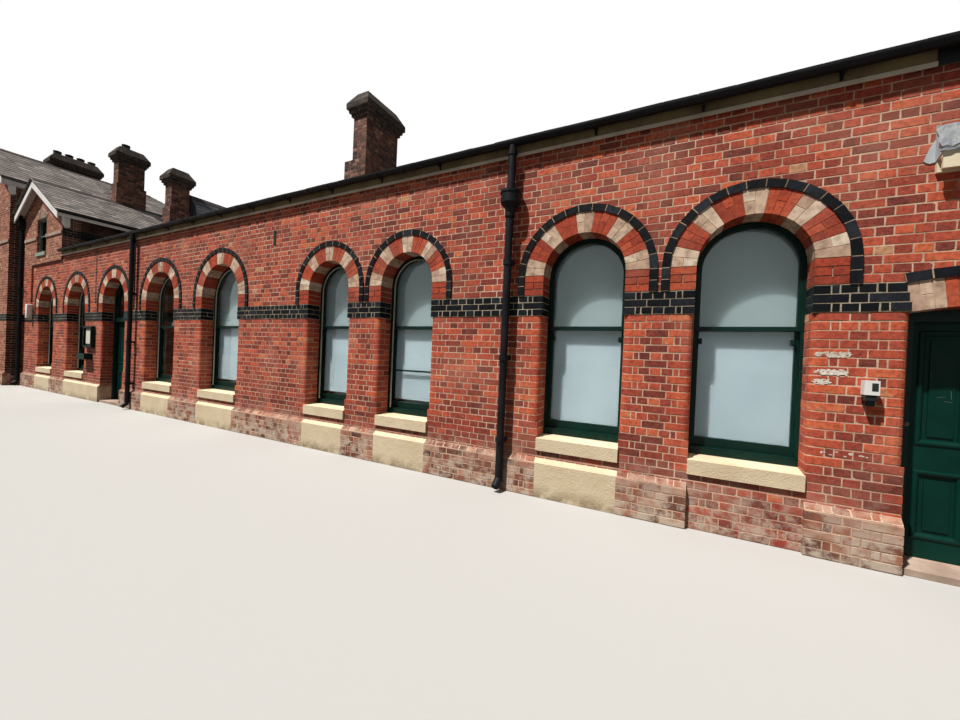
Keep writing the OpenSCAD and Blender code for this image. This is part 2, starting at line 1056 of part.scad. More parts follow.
module lower_sash_hole(x, r) {
    half = r - frame_w - stile_w;
    z0 = sill_top + frame_sill_h + bottom_rail_h;
    translate([x - half, z0]) square([2 * half, meeting_z - rail_half - z0]);
}

module gable_sash(x, z0, z1) {
    half = upper_window_w / 2 - frame_w;
    difference() {
        translate([x - half, z0]) square([2 * half, z1 - z0]);
        gable_pane(x, z0, z1);
    }
}

module gable_pane(x, z0, z1) {
    half = upper_window_w / 2 - frame_w - stile_w;
    translate([x - half, z0 + stile_w]) square([2 * half, z1 - z0 - 2 * stile_w]);
}

gable_mid = upper_sill_z + upper_window_h / 2;

module window_sashes() {
    color("#15503a") {
        each_window() {
            facing(upper_sash_y, sash_t) difference() {
                arch_outline($o[0], $o[1] - frame_w, meeting_z - rail_half);
                upper_sash_hole($o[0], $o[1]);
            }
            facing(lower_sash_y, sash_t) difference() {
                translate([$o[0] - $o[1] + frame_w, sill_top + frame_sill_h])
                    square([2 * ($o[1] - frame_w), meeting_z + rail_half - sill_top - frame_sill_h]);
                lower_sash_hole($o[0], $o[1]);
            }
        }
        each_upper() {
            facing(upper_sash_y, sash_t)
                gable_sash($x, gable_mid - rail_half, upper_sill_z + upper_window_h - frame_w);
            facing(lower_sash_y, sash_t)
                gable_sash($x, upper_sill_z + frame_w, gable_mid + rail_half);
        }
    }
}

module window_glass() {
    pane_in = (sash_t - glass_t) / 2;
    color("#9fb4bd") {
        each_window() {
            facing(upper_sash_y + pane_in, glass_t) upper_sash_hole($o[0], $o[1]);
            facing(lower_sash_y + pane_in, glass_t) lower_sash_hole($o[0], $o[1]);
        }
        each_upper() {
            facing(upper_sash_y + pane_in, glass_t)
                gable_pane($x, gable_mid - rail_half, upper_sill_z + upper_window_h - frame_w);
            facing(lower_sash_y + pane_in, glass_t)
                gable_pane($x, upper_sill_z + frame_w, gable_mid + rail_half);
        }
    }
}

// White boards behind five of the front windows; three stop short of the bottom rail
blind_t = 4;
blind_gap = 4;
blind_short = 110;

module window_blinds() {
    color("#e6e9ea") front() {
        for (o = [[w1, small_r, 0], [w2, small_r, 0], [w3, small_r, 1], [w4, small_r, 1], [w5, large_r, 1]])
            facing(lower_sash_y + sash_t + blind_gap, blind_t)
                arch_outline(o[0], o[1] - frame_w, blind_z + o[2] * blind_short);
    }
}

// Stone heads and sills of the upper windows, string courses and kneelers
string_z = 4500;
string_h = 90;
string_proud = 30;

module stone_dressings() {
    color("#cfc2a6") {
        front() translate([0, -ledge_proud, 0]) upper_stones(house_window_x);
        rear() upper_stones(house_window_x);
        rear() upper_stones(wing_x);
        wing_front() upper_stones(wing_x);
        front() translate([0, -ledge_proud, 0])
            strings(wing_x1 + 2 * corner_pipe_in, house_x1, house_window_x);
        wing_front() strings(left_end, wing_x1, wing_x);
    }
}

module upper_stones(x) {
    facing(-string_proud / 2, head_depth + string_proud / 2) upper_head(x);
    block(
        x - upper_window_w / 2, x + upper_window_w / 2, -string_proud, reveal,
        upper_sill_z - upper_sill_h, upper_sill_z
    );
}

module strings(x0, x1, x) {
    block(x0, x - upper_window_w / 2, -string_proud, 0, string_z, string_z + string_h);
    block(x + upper_window_w / 2, x1, -string_proud, 0, string_z, string_z + string_h);
}

// Doors
panel_in = 12;

module door_leaf(w, h) {
    stile = 100;
    bottom_rail = 180;
    top_rail = 110;
    lock_z = 680;
    upper_z = lock_z + 260;
    margin = 45;
    bed = 3;
    panel_w = (w - 3 * stile) / 2;
    panel_xs = [stile, 2 * stile + panel_w];
    difference() {
        cube([w, leaf_t, h]);
        for (y = [-eps, leaf_t - panel_in], x = panel_xs) {
            translate([x, y, bottom_rail])
                cube([panel_w, panel_in + eps, lock_z - bottom_rail]);
            translate([x, y, upper_z])
                cube([panel_w, panel_in + eps, h - upper_z - top_rail]);
        }
    }
    for (y = [bed, leaf_t - panel_in], x = panel_xs) {
        translate([x + margin, y, bottom_rail + margin])
            cube([panel_w - 2 * margin, panel_in - bed, lock_z - bottom_rail - 2 * margin]);
        translate([x + margin, y, upper_z + margin])
            cube([panel_w - 2 * margin, panel_in - bed, h - upper_z - top_rail - 2 * margin]);
    }
}

// Round knob on its rose, one on each face of a leaf
knob_profile = [[0, 0], [26, 0], [26, 5], [10, 8], [10, 30], [22, 36], [27, 48], [22, 60], [0, 62]];

module handle(x, z) {
    for (side = [0, 1])
        translate([x, side * leaf_t, z])
            rotate([side == 0 ? 90 : -90, 0, 0])
                rotate_extrude() polygon(knob_profile);
}

end_leaf_x = end_door_x - end_leaf_w / 2;
end_leaf_z = threshold_h + leaf_gap;
end_leaf_h = end_head_z + rebate - leaf_gap - end_leaf_z;

// Butt hinges: the frame's barrels carry the leaf's, on one axis at the leaf's inner corner
barrel_r = 5.5;
barrel_h = 40;
hinge_in = 230;

function hinge_zs(z, h) = [z + hinge_in, z + h - hinge_in];

module frame_hinges(x, z, h) {
    for (hz = hinge_zs(z, h)) {
        translate([x, wall_t, hz]) cylinder(h = barrel_h, r = barrel_r);
        block(x - 3 * leaf_gap, x, wall_t - 2, wall_t + 4, hz, hz + barrel_h);
    }
}

module hinged_leaf(x, z, w, h) {
    difference() {
        union() {
            translate([x, door_leaf_y, z]) door_leaf(w, h);
            for (hz = hinge_zs(z, h))
                translate([x, wall_t, hz + barrel_h + seat_gap]) cylinder(h = barrel_h, r = barrel_r);
        }
        for (hz = hinge_zs(z, h))
            translate([x, wall_t, hz - seat_gap])
                cylinder(h = barrel_h + 2 * seat_gap, r = barrel_r + 1);
    }
}

module end_door_frame() {
    color("#0e3b2b") front() frame_hinges(end_leaf_x, end_leaf_z, end_leaf_h);
    color("#0e3b2b") front() difference() {
        facing(frame_y, wall_t - frame_y) difference() {
            union() {
                translate([end_door_x - end_door_w / 2, threshold_h])
                    square([end_door_w, band_z - threshold_h]);
                end_arch_outline(end_arch_r);
            }
            translate([end_door_x - end_door_w / 2 + door_frame_w, threshold_h - eps])
                square([end_door_w - 2 * door_frame_w, end_head_z - threshold_h + eps]);
        }
        facing(door_leaf_y - leaf_gap, far / 10)
            translate([end_leaf_x - leaf_gap, threshold_h - eps])
                square([end_leaf_w + 2 * leaf_gap, end_leaf_h + 2 * leaf_gap + eps]);
        block(-far, far, -far, far, -far, threshold_h);
    }
}

module end_door_leaf() {
    color("#0f4430") front() hinged_leaf(end_leaf_x, end_leaf_z, end_leaf_w, end_leaf_h);
}

module end_door_handle() {
    color("#2b2b2b") front() translate([end_leaf_x, door_leaf_y, end_leaf_z])
        handle(end_leaf_w - 50, 810);
}

platform_leaf_x = platform_door_x - platform_leaf_w / 2;
platform_leaf_h = transom_z + rebate - leaf_gap - end_leaf_z;

module platform_door_frame() {
    color("#0e3b2b") front() frame_hinges(platform_leaf_x, end_leaf_z, platform_leaf_h);
    color("#0e3b2b") front() difference() {
        facing(frame_y, wall_t - frame_y) difference() {
            arch_outline(platform_door_x, large_r, threshold_h);
            translate([platform_door_x - large_r + door_frame_w, threshold_h - eps])
                square([2 * (large_r - door_frame_w), transom_z - threshold_h + eps]);
            arch_outline(platform_door_x, large_r - door_frame_w / 2, transom_z + door_frame_w);
        }
        facing(door_leaf_y - leaf_gap, far / 10)
            translate([platform_leaf_x - leaf_gap, threshold_h - eps])
                square([platform_leaf_w + 2 * leaf_gap, platform_leaf_h + 2 * leaf_gap + eps]);
    }
}

module platform_door_fanlight() {
    color("#9fb4bd") front() facing(frame_y + frame_d / 2, glass_t)
        arch_outline(platform_door_x, large_r - door_frame_w / 2, transom_z + door_frame_w);
}

module platform_door_leaf() {
    color("#0f4430") front()
        hinged_leaf(platform_leaf_x, end_leaf_z, platform_leaf_w, platform_leaf_h);
}

module platform_door_handle() {
    color("#2b2b2b") front() translate([platform_leaf_x, door_leaf_y, end_leaf_z])
        handle(platform_leaf_w - 50, 810);
}

module door_thresholds() {
    color("#b9b3a4") front() {
        block(
            end_door_x - end_door_w / 2, end_door_x + end_door_w / 2,
            -10, wall_t, 0, threshold_h
        );
        block(
            platform_door_x - large_r, platform_door_x + large_r,
            -10, wall_t, 0, threshold_h
        );
    }
}

// Small lead-covered hood over the end door
hood_w = 780;
hood_out = 110;
hood_z = 3060;
hood_board = 130;
hood_rise = 350;

module door_hood() {
    color("#e5d5ac") front()
        along_x(end_door_x - hood_w / 2, end_door_x + hood_w / 2)
            polygon([
                [0, hood_z],
                [0, hood_z + hood_rise],
                [-hood_out, hood_z + hood_board + 20],
                [-hood_out, hood_z],
                [-hood_out + 25, hood_z],
                [-hood_out + 25, hood_z + 90],
                [-30, hood_z + 90],
                [-30, hood_z]
            ]);
}

// Roofs
module range_roof() {
    color("#6d675f") difference() {
        range_slab(house_x, right_end + verge);
        block(-far, far, -seat_gap, seat_gap, 0, far / 4);
        house_slab();
        intersection() {
            under_house(0, gable_lap + eps);
            block(-far, house_x1, -far, far, -far, far);
        }
        for (s = stacks_range) stack_hole(s);
        stack_hole(stack_house);
        intersection() {
            under_hall(hall_t, half_d - wall_t, half_d + far / 10);
            block(house_x1, far, -far, far, -far, far);
        }
    }
}

module house_roof() {
    color("#7a736a") difference() {
        house_slab();
        stack_hole(stack_house);
        block(house_x - seat_gap, house_x + seat_gap, -far, far, 0, far / 4);
    }
}

module wing_roof() {
    color("#7a736a") difference() {
        under_wing(0, 0);
        under_wing(roof_t, 2 * eps);
        block(-far, far, -far, far, -far, wing_ridge_z - roof_t - wing_slope * wing_half - 2 * eps);
        stack_hole(stack_wing);
        block(wing_x - seat_gap, wing_x + seat_gap, -far, far, 0, far / 4);
    }
}

module hall_roof() {
    color("#3c3f47") difference() {
        under_hall(0, hall_y0, half_d + gable_lap);
        under_hall(hall_t, hall_y0 - eps, half_d + gable_lap + eps);
        under_range(roof_t, slate_lap, -far / 2, far / 2);
        under_house(0, gable_lap + eps);
    }
}

module hall_gablet() {
    color("#4a4440") difference() {
        under_hall(hall_t, hall_y0, hall_y0 + 100);
        under_range(roof_t, slate_lap, -far / 2, far / 2);
        under_house(0, gable_lap + eps);
    }
}

// Ridge tiles bedded on the slates
tile_w = 150;
tile_t = 22;

module ridge_outline(slope) {
    polygon([
        [0, 0],
        [tile_w, -slope * tile_w],
        [tile_w, tile_t - slope * tile_w],
        [0, tile_t],
        [-tile_w, tile_t - slope * tile_w],
        [-tile_w, -slope * tile_w]
    ]);
}

module ridge_tiles() {
    color("#5b4a42") difference() {
        union() {
            translate([0, 0, range_ridge_z + roof_t])
                along_x(house_x, right_end + verge) ridge_outline(range_slope);
        }
        under_house(-tile_t, gable_lap);
        under_hall(-tile_t, hall_y0 - eps, far);
        for (s = stacks) stack_hole(s);
        for (s = footed_stacks) foot_hole(s, seat_gap);
    }
    color("#5b4a42") difference() {
        facing(-half_d - gable_lap, 2 * (half_d + gable_lap))
            translate([house_x, house_ridge_z]) ridge_outline(house_slope);
        for (s = stacks) stack_hole(s);
        foot_hole(stack_house, seat_gap);
    }
    color("#5b4a42")
        facing(wing_face - gable_lap, half_d + wing_eaves - wing_half - wing_face + gable_lap)
            translate([wing_x, wing_ridge_z]) ridge_outline(wing_slope);
    color("#5b4a42")
        facing(hall_y0, half_d + gable_lap - hall_y0)
            translate([hall_x, hall_ridge_z]) ridge_outline(hall_slope);
}

// Eaves
fascia_top = eaves_z - range_slope * fascia_t - 4;
gutter_z = eaves_z - 20;
gutter_y = -fascia_t - gutter_r;

module eaves_fascia() {
    color("#e5d5ac") {
        front() block(house_x1, right_end, -fascia_t, 0, fascia_top - fascia_h, fascia_top);
        rear() block(house_x1, right_end, -fascia_t, 0, fascia_top - fascia_h, fascia_top);
    }
}

module gutter_outline() {
    difference() {
        circle(gutter_r);
        circle(gutter_r - gutter_t);
        translate([-2 * gutter_r, 0]) square(4 * gutter_r);
    }
}

module gutters() {
    color("#1c1d1f") {
        for (back = [0, 1])
            mirror([0, back, 0]) front()
                translate([0, gutter_y, gutter_z])
                    along_x(house_x1 + 30, right_end + verge - 10) gutter_outline();
    }
}

module bracket(x) {
    translate([x, 0, 0])
        along_x(-12, 12)
            translate([gutter_y, gutter_z])
                difference() {
                    union() {
                        circle(gutter_r + 5);
                        translate([gutter_r - 6, -gutter_r + 10]) square([6, gutter_r - 10]);
                    }
                    circle(gutter_r + 0.3);
                    translate([-2 * gutter_r, 0]) square(4 * gutter_r);
                    translate([gutter_r, -2 * gutter_r]) square(4 * gutter_r);
                }
}

module gutter_brackets() {
    n = floor((right_end - house_x1 - 200) / bracket_pitch);
    color("#1c1d1f")
        for (back = [0, 1])
            mirror([0, back, 0]) front()
                for (i = [0:n]) bracket(right_end - 150 - i * bracket_pitch);
}

// Downpipes with collars and shoe, the first with a hopper
pipe_r = 45;
collar_t = 10;
pipe_y = -100;
hopper_z = 3150;
hopper_neck = 90;
hopper_h = 290;
hopper_r = 120;
rim_out = 8;
shoe_z = 140;
shoe_a = 50;
shoe_l = 120;
collar_h = 60;
collar_zs = [560, 1500, 2600];
pipe_from_w2 = 840;
pipe_from_w6 = 1100;
corner_pipe_in = 130;
corner_pipe_top = 5000;

module pipe_collar(x, z, wall_y) {
    translate([x, pipe_y, z]) cylinder(h = collar_h, r = pipe_r + collar_t);
    block(x - pipe_r, x + pipe_r, pipe_y + 20, wall_y, z + collar_t, z + collar_h - collar_t);
}

module downpipe(x, top, strip = 0) {
    translate([x, pipe_y, shoe_z]) cylinder(h = top - shoe_z, r = pipe_r);
    translate([x, pipe_y, shoe_z])
        rotate([-shoe_a, 0, 0])
            translate([0, 0, -shoe_l]) cylinder(h = shoe_l + 10, r = pipe_r);
    for (z = collar_zs) pipe_collar(x, z, z > band_top ? -strip : 0);
}

module hopper(x) {
    intersection() {
        translate([x, pipe_y, hopper_z])
            rotate_extrude()
                polygon([
                    [0, 0],
                    [pipe_r + 12, 0],
                    [pipe_r + 12, hopper_neck],
                    [hopper_r - rim_out, hopper_neck + 60],
                    [hopper_r - rim_out, hopper_h - 30],
                    [hopper_r, hopper_h - 30],
                    [hopper_r, hopper_h],
                    [0, hopper_h]
                ]);
        block(x - hopper_r - eps, x + hopper_r + eps, 2 * pipe_y - hopper_r, 0, 0, eaves_z);
    }
}

module downpipes() {
    pipe_top = gutter_z - gutter_r - 1;
    color("#1c1d1f") front() {
        downpipe(w2 - pipe_from_w2, pipe_top);
        hopper(w2 - pipe_from_w2);
        downpipe(w6 - pipe_from_w6, pipe_top);
        downpipe(wing_x1 + corner_pipe_in, corner_pipe_top, ledge_proud);
    }
    color("#1c1d1f") rear() {
        downpipe(w2 - pipe_from_w2, pipe_top);
        hopper(w2 - pipe_from_w2);
    }
}

// White boards along the verges of the gables
board_h = 180;
board_t = 30;

module verge_boards(x, ridge_z, slope, left, right) {
    z = ridge_z - roof_t - seat_gap;
    polygon([
        [x - left, z - slope * left],
        [x, z],
        [x + right, z - slope * right],
        [x + right, z - slope * right - board_h],
        [x, z - board_h],
        [x - left, z - slope * left - board_h]
    ]);
}

// Boxed end of an eaves overhang, right of a gable: x is the wall's corner
eaves_box_w = 200;
eaves_box_h = 420;
eaves_box_d = 120;

module eaves_box(x, z) {
    along_x(x, x + eaves_box_w)
        polygon([
            [0, z],
            [0, z - eaves_box_h],
            [-eaves_box_d / 2, z - eaves_box_h],
            [-eaves_box_d, z - eaves_box_h * 0.7],
            [-eaves_box_d, z]
        ]);
}

module bargeboards() {
    house_box_x = house_x1 + seat_gap;
    color("#eceae2") {
        front() facing(-gable_lap, board_t)
            verge_boards(house_x, house_ridge_z, house_slope, house_ridge_in - 1, house_right);
        rear() facing(-gable_lap, board_t)
            verge_boards(house_x, house_ridge_z, house_slope, house_ridge_in - 1, house_right);
        wing_front() facing(-gable_lap, board_t)
            verge_boards(wing_x, wing_ridge_z, wing_slope, wing_half, wing_half);
        front() translate([0, eaves_box_d / 2, 0])
            eaves_box(
                house_box_x,
                house_ridge_z - roof_t - 1 - house_slope * (house_x1 + eaves_box_w + 1 - house_x)
            );
        wing_front() translate([0, eaves_box_d / 2, 0])
            eaves_box(
                wing_x1 + seat_gap,
                wing_ridge_z - roof_t - 1 - wing_slope * (wing_w / 2 + eaves_box_w + 1)
            );
        house_eaves_board();
    }
}

// Thin board under the slates along the house eaves, down to the range roof
module house_eaves_board() {
    x1 = house_x1 + house_eaves;
    z1 = house_ridge_z - roof_t - seat_gap - house_slope * house_right;
    difference() {
        block(x1 - board_t, x1, board_t + seat_gap - half_d - gable_lap, 0, z1 - board_h / 2, z1);
        under_range(roof_t + seat_gap, slate_lap, -far / 2, far / 2);
    }
}

// Small light on the pier beside the end door
light_in = 710;
light_w = 90;
light_z = 1365;
light_h = 112;
light_out = 110;

module wall_light() {
    x = end_door_x - light_in;
    color("#c9cbc6") front() {
        block(x - light_w / 2, x + light_w / 2, -light_out, -35, light_z, light_z + light_h);
        block(x - light_w / 3, x + light_w / 3, -36, 0, light_z + 15, light_z + 75);
    }
}

// Notice case and the trough on the wall under it
case_in = 1230;
case_w = 520;
case_z = 1345;
case_h = 545;
case_d = 70;
case_rim = 40;
trough_z = 1040;
trough_h = 150;
trough_d = 170;
trough_w = 440;
trough_in = 1310;
trough_wall = 15;

module notice_case() {
    x = platform_door_x - case_in;
    t = platform_door_x - trough_in;
    color("#123528") front() {
        difference() {
            block(x - case_w / 2, x + case_w / 2, -case_d, 0, case_z, case_z + case_h);
            block(
                x - case_w / 2 + case_rim, x + case_w / 2 - case_rim,
                -case_d - eps, -case_d + 25,
                case_z + case_rim, case_z + case_h - case_rim
            );
        }
        difference() {
            block(t - trough_w / 2, t + trough_w / 2, -trough_d, 0, trough_z, trough_z + trough_h);
            block(
                t - trough_w / 2 + trough_wall, t + trough_w / 2 - trough_wall,
                -trough_d + trough_wall, -trough_wall,
                trough_z + trough_wall, trough_z + trough_h + eps
            );
        }
    }
}

floor();
front_wall();
front_wall_left();
front_wall_end_pier();
wall_over_end_door();
wall_over_platform_door();
rear_wall();
end_wall();
house_side_wall();
house_front_wall();
wing_front_wall();
wing_side_walls();
black_band();
arch_cream_voussoirs();
arch_red_voussoirs();
arch_black_labels();
pier_plinths();
cream_plinths();
window_sills();
window_frames();
window_sashes();
window_glass();
window_blinds();
stone_dressings();
end_door_frame();
end_door_leaf();
end_door_handle();
platform_door_frame();
platform_door_leaf();
platform_door_handle();
platform_door_fanlight();
door_thresholds();
door_hood();
range_roof();
house_roof();
wing_roof();
hall_roof();
hall_gablet();
ridge_tiles();
eaves_fascia();
gutters();
gutter_brackets();
downpipes();
bargeboards();
range_chimneys();
house_chimney();
wing_chimney();
chimney_heads();
chimney_feet();
chimney_pots();
wall_light();
notice_case();
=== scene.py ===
import math
import random

import bmesh
import bpy
from mathutils import Matrix, Vector


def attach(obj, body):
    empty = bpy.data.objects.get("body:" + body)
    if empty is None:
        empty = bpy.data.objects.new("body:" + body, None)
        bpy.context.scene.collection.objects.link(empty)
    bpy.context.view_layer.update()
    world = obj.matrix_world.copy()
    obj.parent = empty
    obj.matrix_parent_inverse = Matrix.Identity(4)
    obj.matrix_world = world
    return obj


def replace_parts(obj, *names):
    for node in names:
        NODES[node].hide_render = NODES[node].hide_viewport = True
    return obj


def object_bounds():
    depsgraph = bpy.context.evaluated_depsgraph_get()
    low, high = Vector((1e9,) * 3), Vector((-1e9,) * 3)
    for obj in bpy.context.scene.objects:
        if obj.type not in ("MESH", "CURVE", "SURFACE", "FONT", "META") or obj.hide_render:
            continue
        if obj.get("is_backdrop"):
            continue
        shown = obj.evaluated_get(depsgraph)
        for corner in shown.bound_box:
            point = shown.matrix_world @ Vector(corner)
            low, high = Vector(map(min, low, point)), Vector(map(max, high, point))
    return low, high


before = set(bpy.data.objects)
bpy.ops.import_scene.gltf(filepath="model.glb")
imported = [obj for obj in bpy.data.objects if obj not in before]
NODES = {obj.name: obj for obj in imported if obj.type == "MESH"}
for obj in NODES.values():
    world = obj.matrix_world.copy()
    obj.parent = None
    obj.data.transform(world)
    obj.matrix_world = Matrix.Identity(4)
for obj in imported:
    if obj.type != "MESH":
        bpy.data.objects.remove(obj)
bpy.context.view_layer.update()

# %% [markdown]
# # A brick railway station building
# The real building is a long single-storey brick range with a gabled two-storey bay and a wing
# at its left end. Its beauty is in polychrome brickwork: striped round arches, black glazed
# labels and a black band. The construction is already loaded as the frame above. This lesson
# dresses it: every brick and slate is a small mesh on the frame's walls and roofs, fine trim is
# added where the construction is plain, and every surface gets a material built from nodes.
# Lengths are metres, the long front faces -Y, and the building stands on z = 0.

# %% Chance, seeded so that every run lays the same bricks
CHANCE = random.Random(41)

# %% [markdown]
# ## The camera
# The photograph was taken close to the wall with a wide lens, so the arches shrink quickly
# towards the left. A camera is a place, a turn and a focal length. The turn could be typed as
# three angles in the editor, but building it from its own axes keeps the slight roll exact.

# %% A camera with the photograph's viewpoint
EYE = Vector((9.85, -7.18347, 1.52971))
YAW, PITCH, ROLL = 0.48403, -0.00763, 0.04317
FOCAL_PIXELS, PICTURE_WIDTH, SENSOR = 388.30011, 960, 36


def camera_axes(yaw, pitch, roll):
    """The camera's right, up and backward directions."""
    level = math.cos(pitch)
    ahead = Vector((-math.sin(yaw) * level, math.cos(yaw) * level, math.sin(pitch)))
    right = Vector((math.cos(yaw), math.sin(yaw), 0))
    up = right.cross(ahead)
    turned_right = math.cos(roll) * right + math.sin(roll) * up
    turned_up = math.cos(roll) * up - math.sin(roll) * right
    return turned_right, turned_up, -ahead


camera = bpy.data.objects.new("camera", bpy.data.cameras.new("camera"))
bpy.context.scene.collection.objects.link(camera)
camera.data.sensor_width = SENSOR
camera.data.lens = SENSOR * FOCAL_PIXELS / PICTURE_WIDTH
camera.data.clip_end = 400
axes = camera_axes(YAW, PITCH, ROLL)
camera.matrix_world = Matrix.Translation(EYE) @ Matrix(axes).transposed().to_4x4()
bpy.context.scene.camera = camera
print("lens", round(camera.data.lens, 2), "mm")

# %% [markdown]
# ## Light and floor
# In the photograph the sun stands high on the left and in front. A soft sun lamp from there
# keeps the shadows that explain the reveals, and an even pale sky fills them. Together they are
# close to strength one on the wall, so a colour renders about as it is written.

# %% Sun and sky
bpy.context.scene.view_settings.view_transform = "Standard"
SUN_STRENGTH, SUN_WAY = 5.4, Vector((0.62, 1.0, -2.0))
SKY_AS_LIGHT, MIRRORED_SKY = 0.15, 0.4
sun = bpy.data.objects.new("sun", bpy.data.lights.new("sun", "SUN"))
bpy.context.scene.collection.objects.link(sun)
sun.data.energy = SUN_STRENGTH
sun.data.angle = math.radians(1.5)
sun.data.color = (1.0, 0.96, 0.9)
sun.rotation_euler = SUN_WAY.to_track_quat("-Z", "Y").to_euler()

world = bpy.data.worlds.new("sky")
bpy.context.scene.world = world
world.use_nodes = True
sky = world.node_tree
sky.nodes.clear()
path = sky.nodes.new("ShaderNodeLightPath")
seen = sky.nodes.new("ShaderNodeMath")
seen.operation = "MAXIMUM"
mirrored = sky.nodes.new("ShaderNodeMath")
mirrored.operation = "MAXIMUM"
dimmed = sky.nodes.new("ShaderNodeMath")
dimmed.operation = "MULTIPLY"
dimmed.inputs[1].default_value = MIRRORED_SKY  # what the panes mirror is darker than the sky
level = sky.nodes.new("ShaderNodeMapRange")
level.inputs["To Min"].default_value = SKY_AS_LIGHT
level.inputs["To Max"].default_value = 1.0
glow = sky.nodes.new("ShaderNodeBackground")
glow.inputs["Color"].default_value = (1, 1, 1, 1)
result = sky.nodes.new("ShaderNodeOutputWorld")
sky.links.new(path.outputs["Is Camera Ray"], seen.inputs[0])
sky.links.new(path.outputs["Is Glossy Ray"], dimmed.inputs[0])
sky.links.new(dimmed.outputs[0], mirrored.inputs[0])
sky.links.new(path.outputs["Is Transmission Ray"], mirrored.inputs[1])
sky.links.new(mirrored.outputs[0], seen.inputs[1])
sky.links.new(seen.outputs[0], level.inputs["Value"])
sky.links.new(level.outputs[0], glow.inputs["Strength"])
sky.links.new(glow.outputs[0], result.inputs["Surface"])

print("sun", sun.data.energy, "sky as light", SKY_AS_LIGHT)

# %% A pale floor


def new_object(bm, name):
    """A finished bmesh as a linked object at the origin."""
    mesh = bpy.data.meshes.new(name)
    bm.to_mesh(mesh)
    bm.free()
    made = bpy.data.objects.new(name, mesh)
    bpy.context.scene.collection.objects.link(made)
    return made


FLOOR_HALF = 160
ground = bmesh.new()
bmesh.ops.create_grid(ground, x_segments=1, y_segments=1, size=FLOOR_HALF)
bmesh.ops.translate(ground, vec=(0, 0, -0.002), verts=ground.verts)
floor = new_object(ground, "studio_floor")
floor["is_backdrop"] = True
print("floor", 2 * FLOOR_HALF, "m wide")

# %% [markdown]
# ## A small kitchen for materials
# Old brick, slate and paint are never one colour. Each recipe below mixes a base colour with
# noise at two or three scales, turns the same noise into a slight relief, and keeps plain
# numbers such as gloss on the shader itself. The helper wraps the few nodes that repeat.

# %% The recipe helper


def tint(red, green, blue):
    """A colour as it is seen on screen, 0 to 255, as the linear light that Blender mixes."""
    part = [c / 255 for c in (red, green, blue)]
    return tuple(c / 12.92 if c <= 0.04045 else ((c + 0.055) / 1.055) ** 2.4 for c in part) + (1.0,)


class Recipe:
    """One material: its node tree, with shorthand for the nodes used again and again."""

    def __init__(self, name, roughness=0.85, specular=0.35):
        self.material = bpy.data.materials.new(name)
        self.material.use_nodes = True
        self.tree = self.material.node_tree
        self.shader = self.tree.nodes["Principled BSDF"]
        self.shader.inputs["Roughness"].default_value = roughness
        self.shader.inputs["Specular IOR Level"].default_value = specular
        self.place = self.tree.nodes.new("ShaderNodeTexCoord").outputs["Object"]

    def feed(self, socket, value):
        """Gives a socket another node's output, a colour as seen on screen, or a plain number."""
        if isinstance(value, bpy.types.NodeSocket):
            self.tree.links.new(value, socket)
        elif isinstance(value, tuple):
            socket.default_value = tint(*value)
        elif value is not None:
            socket.default_value = value

    def noise(self, scale, detail=3.0, stretch=(1, 1, 1), roughness=0.55):
        spread = self.tree.nodes.new("ShaderNodeMapping")
        spread.inputs["Scale"].default_value = stretch
        self.feed(spread.inputs["Vector"], self.place)
        cloud = self.tree.nodes.new("ShaderNodeTexNoise")
        cloud.inputs["Scale"].default_value = scale
        cloud.inputs["Detail"].default_value = detail
        cloud.inputs["Roughness"].default_value = roughness
        self.feed(cloud.inputs["Vector"], spread.outputs[0])
        return cloud.outputs["Fac"]

    def attribute(self, name):
        reader = self.tree.nodes.new("ShaderNodeAttribute")
        reader.attribute_name = name
        return reader.outputs["Fac"]

    def ramp(self, amount, stops):
        """A scale of colours, each with its place from 0 to 1."""
        band = self.tree.nodes.new("ShaderNodeValToRGB")
        marks = band.color_ramp.elements
        while len(marks) < len(stops):
            marks.new(0.5)
        for mark, (spot, colour) in zip(marks, stops):
            mark.position = spot
            mark.color = tint(*colour)
        self.feed(band.inputs["Fac"], amount)
        return band.outputs["Color"]

    def between(self, amount, low, high, start=0.0, end=1.0):
        """amount from low to high, as a number from start to end."""
        scale = self.tree.nodes.new("ShaderNodeMapRange")
        for key, value in (("From Min", low), ("From Max", high), ("To Min", start), ("To Max", end)):
            scale.inputs[key].default_value = value
        self.feed(scale.inputs["Value"], amount)
        return scale.outputs[0]

    def maths(self, operation, first, second=None):
        sum_node = self.tree.nodes.new("ShaderNodeMath")
        sum_node.operation = operation
        self.feed(sum_node.inputs[0], first)
        self.feed(sum_node.inputs[1], second)
        return sum_node.outputs[0]

    def mix(self, amount, first, second, blend="MIX"):
        stir = self.tree.nodes.new("ShaderNodeMix")
        stir.data_type = "RGBA"
        stir.blend_type = blend
        self.feed(stir.inputs[0], amount)
        self.feed(stir.inputs[6], first)
        self.feed(stir.inputs[7], second)
        return stir.outputs[2]

    def position(self, axis):
        split = self.tree.nodes.new("ShaderNodeSeparateXYZ")
        self.feed(split.inputs[0], self.place)
        return split.outputs[axis]

    def finish(self, colour, relief=None, depth=0.002, gloss=None):
        self.feed(self.shader.inputs["Base Color"], colour)
        self.feed(self.shader.inputs["Roughness"], gloss)
        if relief is not None:
            press = self.tree.nodes.new("ShaderNodeBump")
            press.inputs["Strength"].default_value = 0.7
            press.inputs["Distance"].default_value = depth
            self.feed(press.inputs["Height"], relief)
            self.feed(self.shader.inputs["Normal"], press.outputs[0])
        return self.material


